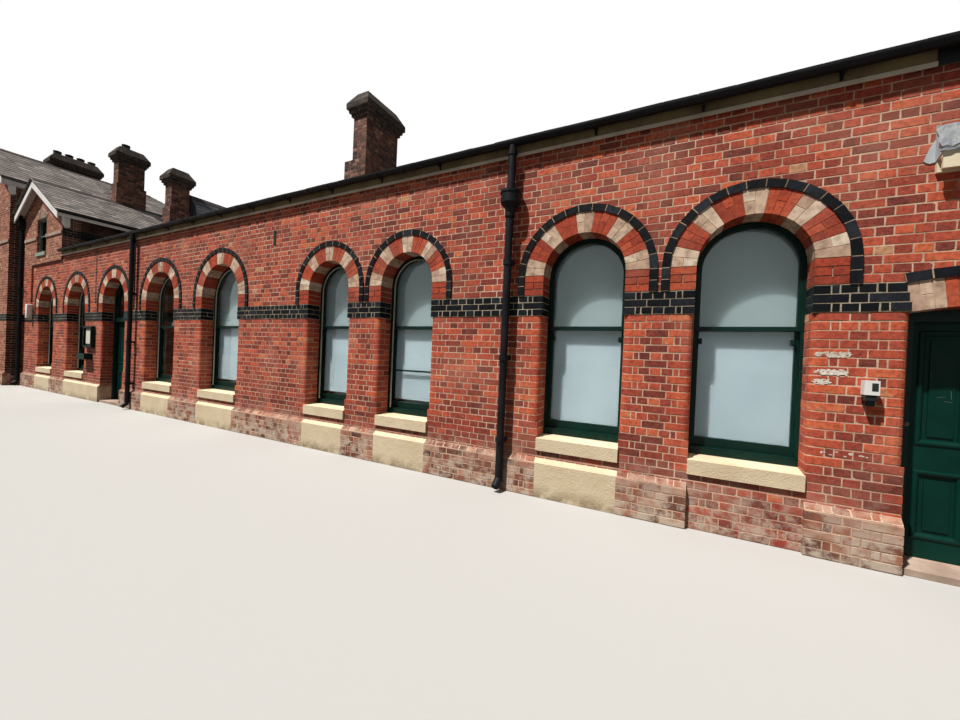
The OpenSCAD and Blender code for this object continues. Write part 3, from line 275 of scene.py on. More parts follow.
# The floor is pale where it is seen, also through glass, but throws little light back on the wall
pale = Recipe("pale floor", roughness=0.9, specular=0.1)
rays = pale.tree.nodes.new("ShaderNodeLightPath").outputs
watched = pale.maths("MULTIPLY", rays["Is Glossy Ray"], 0.3)
watched = pale.maths("MAXIMUM", watched, rays["Is Transmission Ray"])
watched = pale.maths("MAXIMUM", rays["Is Camera Ray"], watched)
floor.data.materials.append(pale.finish(pale.mix(watched, (92, 88, 83), (184, 184, 183))))
print("recipe helper ready")

# %% [markdown]
# ## Brick, mortar and stone
# A fired brick's colour depends on its place in the kiln, so each small brick mesh later carries
# a number called tone. The recipe turns tone into a colour, then adds speckle, lime bloom near
# the ground and soot higher up. A Brick Texture node would be quicker, but its joints cannot turn
# the corners or follow the arches.

# %% Recipes for masonry


def masonry(
    name, stops, bloom=0.0, grain=(28, 150), depth=0.004, smear=0.0, burnt=(98, 52, 46), pale=(190, 138, 118)
):
    """Fired brick: colour from tone, with speckle, smeared mortar, and bloom where lime rises."""
    r = Recipe(name, 0.85, 0.3)
    patch = r.noise(1.3, 3)
    speck = r.noise(grain[0], 4)
    tone = r.maths("ADD", r.attribute("tone"), r.between(r.noise(9, 2), 0.3, 0.7, -0.1, 0.1))
    colour = r.ramp(tone, stops)
    colour = r.mix(r.between(speck, 0.42, 0.72, 0, 0.55), colour, burnt, "MULTIPLY")
    scuffed = r.noise(grain[0] * 2.2, 5, stretch=(1, 1, 1.6), roughness=0.7)
    colour = r.mix(r.between(scuffed, 0.5, 0.7, 0, 0.2), colour, pale)
    colour = r.mix(r.between(patch, 0.5, 0.72, 0, 0.3), colour, pale)
    if smear:
        wiped = r.between(r.noise(15, 6, stretch=(1, 1, 2), roughness=0.8), 0.6, 0.68, 0, smear)
        colour = r.mix(wiped, colour, (206, 168, 144))
    if bloom:
        low = r.between(r.position("Z"), 0.62, 0.12, 0, 1)
        salt = r.between(r.noise(7, 5, roughness=0.7), 0.44, 0.58, 0, 1)
        risen = r.maths("MULTIPLY", r.maths("MULTIPLY", low, salt), bloom)
        colour = r.mix(risen, colour, (206, 190, 172))
    fine = r.maths("MULTIPLY", r.noise(grain[1], 2), 0.4)
    return r.finish(colour, r.maths("ADD", r.maths("MULTIPLY", speck, 0.7), fine), depth)


def bedding(name, light, dark, roughness=0.95):
    """Mortar: sandy, stained in patches."""
    r = Recipe(name, roughness, 0.15)
    colour = r.mix(r.between(r.noise(3.5, 4), 0.35, 0.65), light, dark)
    colour = r.mix(r.between(r.noise(60, 3), 0.45, 0.7, 0, 0.4), colour, (120, 100, 82), "MULTIPLY")
    return r.finish(colour, r.noise(120, 3), 0.002)


print("recipes for fired brick and for mortar")

# %% [markdown]
# ## The colours of each brick
# The range is of hard red brick, the gables of a browner one, and chimneys are black with soot. The
# walls and returns that face away from the sun get a near-black scale as painted shade. A photograph
# of each could be wrapped on, but the same recipe with another scale of colours, from the coldest
# place in the kiln to the hottest, costs nothing and never repeats.

# %% Bricks
OLD_BRICK = masonry(
    "old red brick",
    [
        (0.0, (112, 52, 44)), (0.1, (134, 58, 46)), (0.4, (162, 70, 53)), (0.65, (184, 81, 59)),
        (0.85, (206, 96, 64)), (0.93, (214, 112, 72)), (1.0, (200, 150, 112)),
    ],
    bloom=0.75,
    smear=0.5,
)
GABLE_BRICK = masonry(
    "weathered gable brick",
    [
        (0.0, (112, 70, 60)), (0.3, (148, 88, 72)), (0.65, (172, 108, 86)), (0.9, (192, 136, 108)),
        (1.0, (204, 168, 140)),
    ],
    grain=(20, 110),
)
# Painted shade: a near-black scale for the brick of walls and returns that face away from the sun
SHADE_BRICK = masonry(
    "painted shade brick",
    [
        (0.0, (31, 22, 22)), (0.4, (49, 31, 28)), (0.75, (70, 41, 36)), (1.0, (98, 62, 52)),
    ],
    bloom=0.5,
)
SOOT_AND_SHADE_BRICK = masonry(
    "sooty chimney brick and ledge shade",
    [
        (0.0, (26, 23, 23)), (0.4, (44, 37, 35)), (0.75, (62, 51, 47)), (1.0, (92, 77, 68)),
    ],
    burnt=(110, 100, 90),
    pale=(104, 92, 84),
)
STACK_BRICK = masonry(
    "weathered chimney brick",
    [
        (0.0, (34, 28, 28)), (0.35, (74, 52, 46)), (0.7, (118, 78, 66)), (1.0, (164, 126, 110)),
    ],
    burnt=(110, 88, 78),
)
PLINTH_BRICK = masonry(
    "limed plinth brick",
    [
        (0.0, (96, 60, 50)), (0.35, (148, 88, 69)), (0.6, (170, 112, 90)), (1.0, (200, 168, 144)),
    ],
    bloom=0.85,
)
RUBBED_RED = masonry(
    "rubbed red arch brick",
    [(0.0, (150, 58, 38)), (0.5, (176, 68, 42)), (1.0, (196, 88, 54))],
    grain=(34, 190),
    depth=0.0015,
)
RUBBED_CREAM = masonry(
    "rubbed cream arch brick",
    [(0.0, (180, 148, 128)), (0.5, (212, 186, 162)), (1.0, (230, 212, 190))],
    grain=(16, 120),
    depth=0.0015,
)
r = Recipe("black glazed brick", 0.45, 0.12)
glaze = r.ramp(
    r.maths("ADD", r.attribute("tone"), r.between(r.noise(14, 3), 0.3, 0.7, -0.2, 0.2)),
    [(0.0, (10, 12, 15)), (0.6, (20, 23, 28)), (1.0, (42, 45, 52))],
)
BLACK_BRICK = r.finish(glaze, r.noise(45, 3), 0.0015, r.between(r.noise(20, 3), 0.35, 0.65, 0.36, 0.6))
print("nine scales of brick")

# %% Mortars, stone and masonry paint
MORTAR = bedding("lime mortar", (222, 192, 168), (182, 148, 126))
WHITE_MORTAR = bedding("white pointing", (202, 190, 168), (146, 136, 118))
SOOT_AND_SHADE_MORTAR = bedding("sooty and shaded mortar", (92, 77, 68), (60, 49, 45))
CHIMNEY_MORTAR = bedding("chimney mortar", (160, 136, 122), (70, 58, 52))
LABEL_MORTAR = bedding("label joint", (186, 164, 142), (126, 108, 92))
FINE_MORTAR = bedding("fine arch joint", (206, 178, 150), (176, 146, 120))
RED_MORTAR = bedding("red arch joint", (176, 100, 78), (140, 72, 56))

# Painted shade: the wing's side wall beside the house, which faces away from the sun, gets a dark mortar, and
# its outer end the pale one
r = Recipe("mortar of the wing's sides", 0.95, 0.15)
west = r.between(r.position("X"), -9.4, -9.6)
shaded_bed = r.mix(r.between(r.noise(3.5, 4), 0.35, 0.65), (92, 77, 68), (60, 49, 45))
SIDE_MORTAR = r.finish(r.mix(west, shaded_bed, (204, 172, 149)), r.noise(120, 3), 0.002)

r = Recipe("chimney flaunching", 0.9, 0.2)
crumbs = r.noise(26, 5, roughness=0.7)
crust = r.ramp(crumbs, [(0.36, (38, 33, 32)), (0.5, (84, 73, 68)), (0.66, (158, 142, 130))])
FLAUNCHING = r.finish(crust, crumbs, 0.008)

r = Recipe("dressed stone", 0.85, 0.25)
stone = r.mix(r.between(r.noise(5, 4), 0.35, 0.65), (190, 168, 152), (158, 136, 122))
stone = r.mix(r.between(r.noise(1.1, 4), 0.55, 0.75, 0, 0.5), stone, (96, 84, 72))
DRESSED_STONE = r.finish(stone, r.noise(70, 4), 0.003)

r = Recipe("stone floor", 0.8, 0.25)
slab = r.mix(r.between(r.noise(2.2, 4), 0.35, 0.65), (74, 68, 62), (56, 50, 46))
STONE_FLOOR = r.finish(slab, r.noise(40, 3), 0.002)

r = Recipe("cream masonry paint", 0.75, 0.3)
coat = r.mix(r.between(r.noise(2.4, 4), 0.35, 0.7), (224, 208, 178), (210, 190, 158))
coat = r.mix(r.between(r.noise(22, 5, roughness=0.7), 0.6, 0.7, 0, 0.5), coat, (190, 168, 138))
low_dirt = r.maths("MULTIPLY", r.between(r.position("Z"), 0.16, 0.0), r.between(r.noise(9, 4), 0.35, 0.6))
coat = r.mix(r.maths("MULTIPLY", low_dirt, 0.8), coat, (128, 108, 84))
CREAM_PAINT = r.finish(coat, r.maths("ADD", r.noise(18, 3), r.noise(75, 3)), 0.006)
print("eight mortars, the chimneys' caps, two stones and the cream masonry paint")

# %% [markdown]
# ## Timber, metal, glass and roof
# Gloss paint on old joinery is smooth but not flat: brush marks run with the grain, dust dulls
# the ledges and the colour fades in patches. Slates keep a dull sheen and grow lichen. Iron that
# has been painted for a century is lumpy. Glass is nearly all reflection, which the sky gives.

# %% The recipe for paint on timber and iron


def gloss_paint(name, main, faded, roughness=0.35, grain=(60, 60, 3), bare=None, specular=0.14):
    """Oil paint on timber or iron: brush marks, faded patches, and bare wood at the worst spots."""
    r = Recipe(name, roughness, specular)
    colour = r.mix(r.between(r.noise(2.8, 4), 0.4, 0.7), main, faded)
    if bare:
        chip = r.between(r.noise(26, 6, roughness=0.75), 0.66, 0.69)
        colour = r.mix(chip, colour, bare)
    brush = r.noise(3, 4, stretch=grain)
    gloss = r.between(r.noise(5, 3), 0.3, 0.7, roughness - 0.08, roughness + 0.15)
    return r.finish(colour, brush, 0.0012, gloss)


print("recipe for paint on timber and iron")

# %% Paints, window boards and glass
GREEN_GLOSS = gloss_paint("dark green joinery paint", (4, 34, 28), (8, 46, 38), 0.34, specular=0.2)
DOOR_GREEN = gloss_paint("green door paint", (4, 43, 36), (7, 52, 44), 0.3, specular=0.12)
CREAM_TIMBER = gloss_paint(
    "cream board paint", (234, 224, 196), (214, 200, 168), 0.55, (3, 60, 60), (150, 122, 88)
)
# The fascia is darker than the cream boards: stains, and painted shade from the gutter above
FASCIA_STAIN_AND_SHADE = gloss_paint(
    "stained and shaded fascia paint", (150, 134, 100), (112, 98, 72), 0.6, (3, 60, 60), (90, 76, 58)
)
WHITE_TIMBER = gloss_paint("white board paint", (238, 238, 236), (216, 216, 212), 0.5)
BLACK_IRON = gloss_paint("black painted iron", (22, 23, 27), (36, 37, 42), 0.42, (20, 20, 20))
GREY_METAL = gloss_paint("weathered grey metal", (150, 150, 144), (120, 120, 114), 0.5, (20, 20, 20))

r = Recipe("window board", 0.6, 0.2)
sheet = r.mix(r.between(r.noise(0.8, 2), 0.35, 0.65), (150, 158, 167), (136, 145, 155))
# The boards behind the upper sashes are darker: painted shade and painted reflection of the upper panes
sheet = r.mix(r.between(r.position("Z"), 1.80, 1.86), sheet, (124, 134, 138))
WHITE_BOARD = r.finish(sheet, r.noise(6, 2), 0.0004)

r = Recipe("window glass", 0.03, 0.5)
r.shader.inputs["Transmission Weight"].default_value = 1.0
r.shader.inputs["IOR"].default_value = 1.45
GLASS = r.finish(r.mix(r.noise(3, 2), (236, 244, 242), (226, 238, 236)), r.noise(2.2, 2), 0.002)
print("seven paints, boards and glass")

# %% Slate and clay


def slate_finish(name, stops, lichen):
    """Slate: each one has its own grey, cleft in fine steps, with spots of lichen."""
    r = Recipe(name, 0.62, 0.4)
    tone = r.maths("ADD", r.attribute("tone"), r.between(r.noise(6, 3), 0.3, 0.7, -0.2, 0.2))
    colour = r.ramp(tone, stops)
    spots = r.between(r.noise(17, 5, roughness=0.75), 0.6, 0.68, 0, 0.7)
    colour = r.mix(spots, colour, lichen)
    sheen = r.between(r.noise(8, 3), 0.3, 0.7, 0.5, 0.75)
    return r.finish(colour, r.noise(30, 5, stretch=(1, 1, 3)), 0.003, sheen)


SLATE = slate_finish(
    "brown grey slate",
    [(0.0, (72, 68, 67)), (0.5, (110, 103, 100)), (1.0, (154, 145, 140))],
    (172, 166, 148),
)
# The hall's blue-black slate, made darker still as painted shade on its slopes
DARK_SLATE = slate_finish(
    "blue grey slate",
    [(0.0, (26, 30, 38)), (0.5, (38, 43, 52)), (1.0, (58, 64, 74))],
    (92, 96, 90),
)
RIDGE_CLAY = masonry(
    "ridge tile clay",
    [(0.0, (50, 45, 43)), (0.6, (68, 61, 57)), (1.0, (88, 78, 70))],
    grain=(20, 110),
    pale=(108, 98, 92),
)
POT_CLAY = masonry(
    "chimney pot clay",
    [(0.0, (44, 38, 36)), (0.6, (62, 52, 48)), (1.0, (86, 70, 62))],
    grain=(14, 90),
    pale=(104, 90, 82),
)
print("two slates, ridge and pot clay")

# %% [markdown]
# ## Finishes on the frame
# The construction names what each node is made of, such as brick or black iron. Painting node by
# node would leave gaps, so a table swaps every such name for a finish made above. Walls get
# their mortar here, because their bricks come later as pieces of their own.

# %% Each finish on the nodes that ask for it
FINISHES = {
    "brick": MORTAR,
    "red_brick": RED_MORTAR,
    "cream_brick": FINE_MORTAR,
    "black_brick": WHITE_MORTAR,
    "sooty_brick": SOOT_AND_SHADE_MORTAR,
    "plinth_stone": MORTAR,
    "cream_paint": CREAM_PAINT,
    "cream_timber": CREAM_TIMBER,
    "white_timber": WHITE_TIMBER,
    "dressed_stone": DRESSED_STONE,
    "stone_floor": STONE_FLOOR,
    "green_paint": GREEN_GLOSS,
    "door_green": DOOR_GREEN,
    "glass": GLASS,
    "white_board": WHITE_BOARD,
    "slate": SLATE,
    "dark_slate": DARK_SLATE,
    "ridge_clay": RIDGE_CLAY,
    "clay_pot": POT_CLAY,
    "black_iron": BLACK_IRON,
    "grey_metal": GREY_METAL,
}
for node in NODES.values():
    for place, held in enumerate(node.data.materials):
        name = (held.name if held else "").split(".")[0]
        if name in FINISHES:
            node.data.materials[place] = FINISHES[name]
        else:
            print("no finish for", node.name, name)
NODES["eaves_fascia"].data.materials[0] = FASCIA_STAIN_AND_SHADE
NODES["wall_light"].data.materials[0] = WHITE_TIMBER
NODES["wing_side_walls"].data.materials[0] = SIDE_MORTAR
# Painted shade: the house's side wall, which faces away from the sun, takes the dark sooty mortar
NODES["house_side_wall"].data.materials[0] = SOOT_AND_SHADE_MORTAR
NODES["arch_black_labels"].data.materials[0] = LABEL_MORTAR
for name in "range_chimneys", "house_chimney", "wing_chimney", "chimney_feet":
    NODES[name].data.materials[0] = CHIMNEY_MORTAR
NODES["chimney_heads"].data.materials[0] = FLAUNCHING
# The panes throw no shade, so the sun reaches the boards behind them
NODES["window_glass"].visible_shadow = False
print(len(FINISHES), "finishes on the frame")

# %% [markdown]
# ## Laying bricks
# A wall of bricks could be one texture, but then no brick stands proud, turns a corner or ends at
# an arch. Here each brick starts as a flat four-sided face on the wall, laid course by course
# in English bond: a course of stretchers, then one of headers with a narrow closer beside each
# end. One inset operator then lifts every face and bevels its edges at once.

# %% The bond, in courses of 75 mm
COURSE = 0.075
JOINT = 0.009
HALF = 0.1125  # half a brick with its joint
BAND_LOW, BAND_HIGH = 27, 30  # the black band's courses
CHIPPED = 0.09  # how likely a corner of a brick is chipped
ODD_ONE, ODD_TONE = 0.008, 1.15  # how likely a brick is paler than all others, and its tone
DARK_FOOT = 0.98  # most bricks below this height are dark
SHORTEST = 0.03  # no brick is cut shorter than this


def wall_plane(corner, along):
    """A matrix from (distance along, height, distance out) on a wall to the world."""
    along = Vector(along).normalized()
    up = Vector((0, 0, 1))
    turn = Matrix((along, up, along.cross(up))).transposed().to_4x4()
    return Matrix.Translation(Vector(corner)) @ turn


def bond(start, end, course):
    """The joints of one course from start to end: headers with closers, or stretchers."""
    halves = max(round((end - start) / HALF), 1)
    unit = (end - start) / halves
    if halves < 3:
        cuts = [start + unit * i for i in range(halves + 1)]
    elif course % 2:
        middle = [start + unit * (1.5 + i) for i in range(halves - 2)]
        cuts = [start, start + unit] + middle + [end - unit, end]
    else:
        odd = -1  # a half brick goes in where the count is odd, but not at an end
        if halves % 2:
            odd = CHANCE.randint(1, halves // 2 - 1) if halves > 3 else 0
        cuts, spot, laid = [start], start, 0
        while len(cuts) <= (halves + 1) // 2:
            spot += unit if laid == odd else 2 * unit
            laid += 1
            cuts.append(min(spot, end))
    return list(zip(cuts, cuts[1:]))


def free_runs(start, end, holes):
    """What is left between start and end once the holes are taken out."""
    runs, spot = [], start
    for low, high in sorted(holes):
        if high <= start or low >= end:
            continue
        if low > spot:
            runs.append((spot, low))
        spot = max(spot, high)
    if spot < end:
        runs.append((spot, end))
    return [(a, b) for a, b in runs if b - a > SHORTEST]


print("a pier of five half bricks:", [round(b - a, 3) for a, b in bond(0, 5 * HALF, 1)])

# %% A collector of bricks, lifted off the wall when a piece is complete


class Brickwork:
    """Flat brick faces that collect in one bmesh until they are lifted."""

    def __init__(self):
        self.bm = bmesh.new()
        self.tone = self.bm.faces.layers.float.new("tone")

    def face(self, corners, tone=None):
        made = self.bm.faces.new([self.bm.verts.new(c) for c in corners])
        odd = CHANCE.random() < ODD_ONE
        made[self.tone] = tone if tone is not None else ODD_TONE if odd else CHANCE.uniform(0, 0.9)
        return made

    def brick(self, plane, s0, s1, z0, z1):
        """One flat brick: never quite square, often chipped at a corner, some set further back.
        A course drifts up and down a little along the wall, and the lowest ones are darkest."""
        g, sunk = JOINT / 2, CHANCE.uniform(-0.0015, 0)
        tone = CHANCE.uniform(0, 0.45) if z1 < DARK_FOOT and CHANCE.random() < 0.7 else None
        spots = []
        for s, z, right, up in ((s0, z0, 1, 1), (s1, z0, -1, 1), (s1, z1, -1, -1), (s0, z1, 1, -1)):
            s += right * g + CHANCE.uniform(-0.002, 0.002)
            z += up * g + CHANCE.uniform(-0.0022, 0.0018) + 0.0022 * math.sin(2.3 * s + 9 * z0)
            if CHANCE.random() < CHIPPED and s1 - s0 > 0.08:
                bite_s, bite_z = right * CHANCE.uniform(0.008, 0.024), up * CHANCE.uniform(0.006, 0.014)
                pair = [(s, z + bite_z), (s + bite_s, z)]
                spots += pair if right * up > 0 else pair[::-1]
            else:
                spots.append((s, z))
        return self.face([plane @ Vector((s, z, sunk)) for s, z in spots], tone)

    def turned_brick(self, plane, far_end, arris, z0, z1, deep, radius):
        """A brick that runs from far_end to the arris and on round it, deep into the return."""
        g = JOINT / 2
        side = 1 if arris > far_end else -1
        outline = [(far_end + side * g, 0)]
        for i in range(5 if radius else 1):
            a = math.radians(90 / 4 * i)
            outline.append((arris - side * radius * (1 - math.sin(a)), -radius * (1 - math.cos(a))))
        outline.append((arris, g - deep))
        tone = CHANCE.uniform(0.45, 0.95) if radius else CHANCE.uniform(0, 0.9)
        rows = [[self.bm.verts.new(plane @ Vector((s, z, d))) for s, d in outline] for z in (z0 + g, z1 - g)]
        for i in range(len(outline) - 1):
            ring = [rows[0][i], rows[0][i + 1], rows[1][i + 1], rows[1][i]]
            made = self.bm.faces.new(ring if side > 0 else ring[::-1])
            made[self.tone] = tone

    def jamb(self, plane, arris, into, z0, z1, start, end):
        """A brick that shows only in a reveal, from start to end behind the wall's face."""
        g = JOINT / 2
        near, far, low, high = -start - g, -end, z0 + g, z1 - g
        spots = [(arris, low, near), (arris, low, far), (arris, high, far), (arris, high, near)]
        if into < 0:
            spots.reverse()
        self.face([plane @ Vector(p) for p in spots])

    def courses(
        self, plane, s0, s1, low, high, holes=lambda z: [], lattice=False, flip=0, wrap=(0, 0), round_above=9
    ):
        """Courses low to high of a flat wall. Bricks turn into the reveal of each hole, and
        round an outer corner of the wall where wrap says so: 1 to turn it, -1 to start behind a
        brick that was turned from the other face. In a lattice the bond runs on past the holes."""
        for course in range(low, high):
            z0 = course * COURSE
            z1, middle, headers = z0 + COURSE, z0 + COURSE / 2, (course + flip) % 2
            depth = 2 * HALF if headers else HALF
            start = s0 + (3 * HALF - depth if wrap[0] < 0 else 0)
            end = s1 - (3 * HALF - depth if wrap[1] < 0 else 0)
            if lattice:
                skip = holes(middle)
                runs, gaps = [(start, end)], lambda a, b: any(lo < a and b < hi for lo, hi in skip)
            else:
                runs, gaps = free_runs(start, end, holes(middle)), lambda a, b: False
            for run in runs:
                laid = bond(*run, course + flip)
                last = len(laid) - 1
                for i, (a, b) in enumerate(laid):
                    if gaps(a, b):
                        continue
                    jambs = [(i == 0 and run[0] > start, a, b, -1), (i == last and run[1] < end, b, a, 1)]
                    outer = [
                        (i == 0 and wrap[0] > 0 and run[0] == start, a, b),
                        (i == last and wrap[1] > 0 and run[1] == end, b, a),
                    ]
                    turned = False
                    for true, arris, far_end, side in jambs:
                        if true and not turned:
                            radius = BULLNOSE if round_above <= z0 else 0
                            self.turned_brick(plane, far_end, arris, z0, z1, depth, radius)
                            if not headers:
                                self.jamb(plane, arris, side, z0, z1, HALF, REVEAL)
                            turned = True
                    for true, arris, far_end in outer:
                        if true and not turned:
                            self.turned_brick(plane, far_end, arris, z0, z1, depth, 0)
                            turned = True
                    if not turned:
                        self.brick(plane, a, b, z0, z1)

    def clip(self, point, outward):
        """Cuts off what lies beyond a plane, such as a gable's slope."""
        everything = self.bm.verts[:] + self.bm.edges[:] + self.bm.faces[:]
        bmesh.ops.bisect_plane(
            self.bm, geom=everything, plane_co=point, plane_no=outward, clear_outer=True, dist=1e-5
        )

    def lift(self, name, material, proud=0.003, edge=0.003, body="root"):
        """Raises every brick off the wall with a bevelled edge, and makes the piece."""
        flat = [f for f in self.bm.faces if f.calc_area() > 1e-5]
        self.bm.normal_update()
        bmesh.ops.inset_region(
            self.bm, faces=flat, thickness=edge, depth=proud, use_boundary=True, use_even_offset=True
        )
        made = new_object(self.bm, name)
        made.data.materials.append(material)
        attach(made, body)
        print(name, len(made.data.polygons), "faces")
        return made


print("bricks stand", JOINT * 1000, "mm apart")

# %% [markdown]
# ## Where the openings are
# The construction gives each opening a middle and a radius. The same few numbers place the bricks
# round them, so they are kept here once. From the right, four windows stand in pairs and four
# singly, with the platform door among the single ones.

# %% The openings of the long front, in metres
FACE, WING_FACE, BACK = -3.0, -3.33, 3.0
RIGHT, LEFT, WING_RIGHT, HOUSE_RIGHT = 13.0, -13.0, -9.0, -5.74
SPRING, SILL_LOW, SILL_TOP = 2.475, 0.515, 0.667
BULLNOSE_LOW, BULLNOSE = 0.8, 0.056
RING, LABEL, REVEAL = 0.225, 0.0675, 0.225
BAND_Z, BAND_TOP = BAND_LOW * COURSE, BAND_HIGH * COURSE
SMALL, LARGE = 0.4375, 0.6
END_DOOR, PLATFORM_DOOR, WING_WINDOW = 11.855, -2.45, -11.0
WINDOWS = [(-6.95, LARGE), (-4.70, LARGE), (-0.20, LARGE), (2.05, LARGE)]
FOURTH_WINDOW, THIRD_WINDOW, FIRST_WINDOW = 4.97, 6.47, 10.35
WINDOWS += [(FOURTH_WINDOW, SMALL), (THIRD_WINDOW, SMALL), (8.85, SMALL), (FIRST_WINDOW, SMALL)]
FRONT_ARCHES = WINDOWS + [(PLATFORM_DOOR, LARGE)]
REAR_ARCHES = FRONT_ARCHES + [(WING_WINDOW, LARGE)]
DOOR_HALF, DOOR_ARCH_R = 0.475, 2.5
PLINTH, PLINTH_TOP, PLINTH_SPLAY = 0.05, 0.43, 0.05
ROUND_ABOVE = BULLNOSE_LOW - 0.01
PLINTH_COURSES, LEDGE_COURSE, EAVES_COURSE = 5, 50, 52
STRING_LOW, STRING_HIGH = 59, 62  # the dark string course under the upper windows


def arch_holes(arches, floor_level):
    """A function from a height to what the arched openings take out there."""

    def holes(z):
        found = []
        for x, r in arches:
            rise = z - SPRING
            if z < BAND_TOP and z > floor_level(x):
                found.append((x - r, x + r))
            elif z >= BAND_TOP:
                reach = r + RING + LABEL
                half = math.sqrt(max(reach**2 - max(rise, 0) ** 2, 0))
                if half:
                    found.append((x - half, x + half))
        return found

    return holes


print(len(FRONT_ARCHES), "arches on the front,", len(REAR_ARCHES), "on the rear")

# %% [markdown]
# ## The long front
# Below the band the bond starts afresh on each pier, and the end bricks are rounded on their
# arris, as the real ones are, so that nobody scrapes a shoulder. Above it the courses run on
# behind the arch rings, which hide where they stop.

# %% Bricks of the long front wall
front = wall_plane((0, FACE, 0), (1, 0, 0))


def front_floor(x):
    return 0 if x in (PLATFORM_DOOR, END_DOOR) else SILL_LOW


front_openings = arch_holes(FRONT_ARCHES + [(END_DOOR, DOOR_HALF)], front_floor)


def above_band(z):
    """Arch rings, and the flat arch of the end door."""
    found = arch_holes(FRONT_ARCHES, front_floor)(z)
    half, top = DOOR_HALF + 0.005, BAND_Z + 0.3
    if z < top:
        found.append((END_DOOR - half, END_DOOR + half))
    return found


work = Brickwork()
work.courses(
    front, WING_RIGHT, RIGHT, PLINTH_COURSES, BAND_LOW, front_openings, wrap=(0, 1), round_above=ROUND_ABOVE
)
work.lift("front_bricks_below_band", OLD_BRICK)
work = Brickwork()
work.courses(front, WING_RIGHT, RIGHT, BAND_HIGH, EAVES_COURSE, above_band, lattice=True, wrap=(0, 1))
work.lift("front_bricks_above_band", OLD_BRICK)
panel = Brickwork()
panel.courses(front, FIRST_WINDOW - SMALL, FIRST_WINDOW + SMALL, 0, PLINTH_COURSES)
panel.lift("brick_panel_under_first_window", OLD_BRICK)

# %% [markdown]
# ## The plinth
# The foot of each pier steps out and is finished by one sloping course. Rain and lime have made it
# pale, so it has a recipe of its own.

# %% Plinth bricks of the front, back and wing
SLOPE_RISE = math.hypot(PLINTH, PLINTH_SPLAY)


def plinth(work, corner, along, s0, s1, wrap):
    """Five upright courses and a sloping one on a plinth that stands out from a wall."""
    along = Vector(along)
    out = along.cross(Vector((0, 0, 1)))
    face = wall_plane(Vector(corner) + out * PLINTH, along)
    work.courses(face, s0, s1, 0, PLINTH_COURSES, wrap=wrap)
    up = (Vector((0, 0, PLINTH_SPLAY)) - out * PLINTH).normalized()
    turn = Matrix((along, up, along.cross(up))).transposed().to_4x4()
    foot = Vector(corner) + out * PLINTH + Vector((0, 0, PLINTH_TOP - PLINTH_SPLAY))
    slope = Matrix.Translation(foot) @ turn
    for a, b in bond(s0, s1, 1):
        work.brick(slope, a, b, 0, SLOPE_RISE)


BARE_PIER = -4.1  # where the pier beside the platform door starts, which has no plinth
PIERS = []
edges = sorted([(x - r, x + r) for x, r in FRONT_ARCHES + [(END_DOOR, DOOR_HALF)]])
spot = WING_RIGHT
for low, high in edges:
    if low > spot and abs(spot - BARE_PIER) >= 0.01:
        PIERS.append((spot, low))
    spot = high
PIERS.append((spot, RIGHT))
work = Brickwork()
for low, high in PIERS:
    plinth(work, (0, FACE, 0), (1, 0, 0), low, high, (1, 1))
plinth(work, (0, WING_FACE, 0), (1, 0, 0), LEFT, WING_WINDOW - LARGE, (1, 1))
plinth(work, (0, WING_FACE, 0), (1, 0, 0), WING_WINDOW + LARGE, WING_RIGHT, (1, 1))
plinth(work, (0, BACK, 0), (-1, 0, 0), -RIGHT, -LEFT, (1, 1))
work.lift("plinth_bricks", PLINTH_BRICK)
print(len(PIERS), "piers stand on a plinth")

# %% [markdown]
# ## Arch bricks
# Each ring is nine stripes, cream and red in turn, and every stripe is a few bricks on edge whose
# joints point at the centre. They go round the arris into the soffit, so one brick is a strip
# of faces: across the front, then under the arch. Alternate bricks are split into two headers.

# %% Bricks that follow a curve


def bend(work, rows, tone, turned=False):
    """Faces between two rows of corners, which make one brick that goes round an edge."""
    for i in range(len(rows[0]) - 1):
        ring = [rows[0][i], rows[1][i], rows[1][i + 1], rows[0][i + 1]]
        made = work.bm.faces.new(ring[::-1] if turned else ring)
        made[work.tone] = tone


def sector(work, plane, centre, profile, a0, a1, gap):
    """One brick between two angles, along a profile of (radius, distance out), outer side first."""
    rows = []
    for angle, side in ((a0, 1), (a1, -1)):
        row = []
        for radius, out in profile:
            a = math.radians(angle) + side * gap / 2 / radius
            spot = (centre[0] + radius * math.cos(a), centre[1] + radius * math.sin(a), out)
            row.append(work.bm.verts.new(plane @ Vector(spot)))
        rows.append(row)
    bend(work, rows, CHANCE.random())


BAND_OUT, LABEL_OUT, ARCH_GAP = 0.008, 0.020, 0.004
RING_BRICK, LABEL_BRICK = 0.072, 0.145  # lengths along the curve


def stripe(work, plane, centre, radius, a0, a1):
    """One stripe of an arch ring: bricks on edge, every other one split in two."""
    count = max(round(math.radians(a1 - a0) * (radius + RING / 2) / RING_BRICK), 1)
    outer, middle, g = radius + RING, radius + RING / 2, ARCH_GAP / 2
    for i in range(count):
        b0, b1 = a0 + (a1 - a0) * i / count, a0 + (a1 - a0) * (i + 1) / count
        if i % 2:
            sector(work, plane, centre, [(outer - g, BAND_OUT), (middle + g, BAND_OUT)], b0, b1, ARCH_GAP)
            front_half = [(middle - g, BAND_OUT), (radius, BAND_OUT), (radius, g - RING / 2)]
            sector(work, plane, centre, front_half, b0, b1, ARCH_GAP)
            sector(work, plane, centre, [(radius, -RING / 2 - g), (radius, -RING)], b0, b1, ARCH_GAP)
        else:
            whole = [(outer - g, BAND_OUT), (radius, BAND_OUT), (radius, -RING)]
            sector(work, plane, centre, whole, b0, b1, ARCH_GAP)


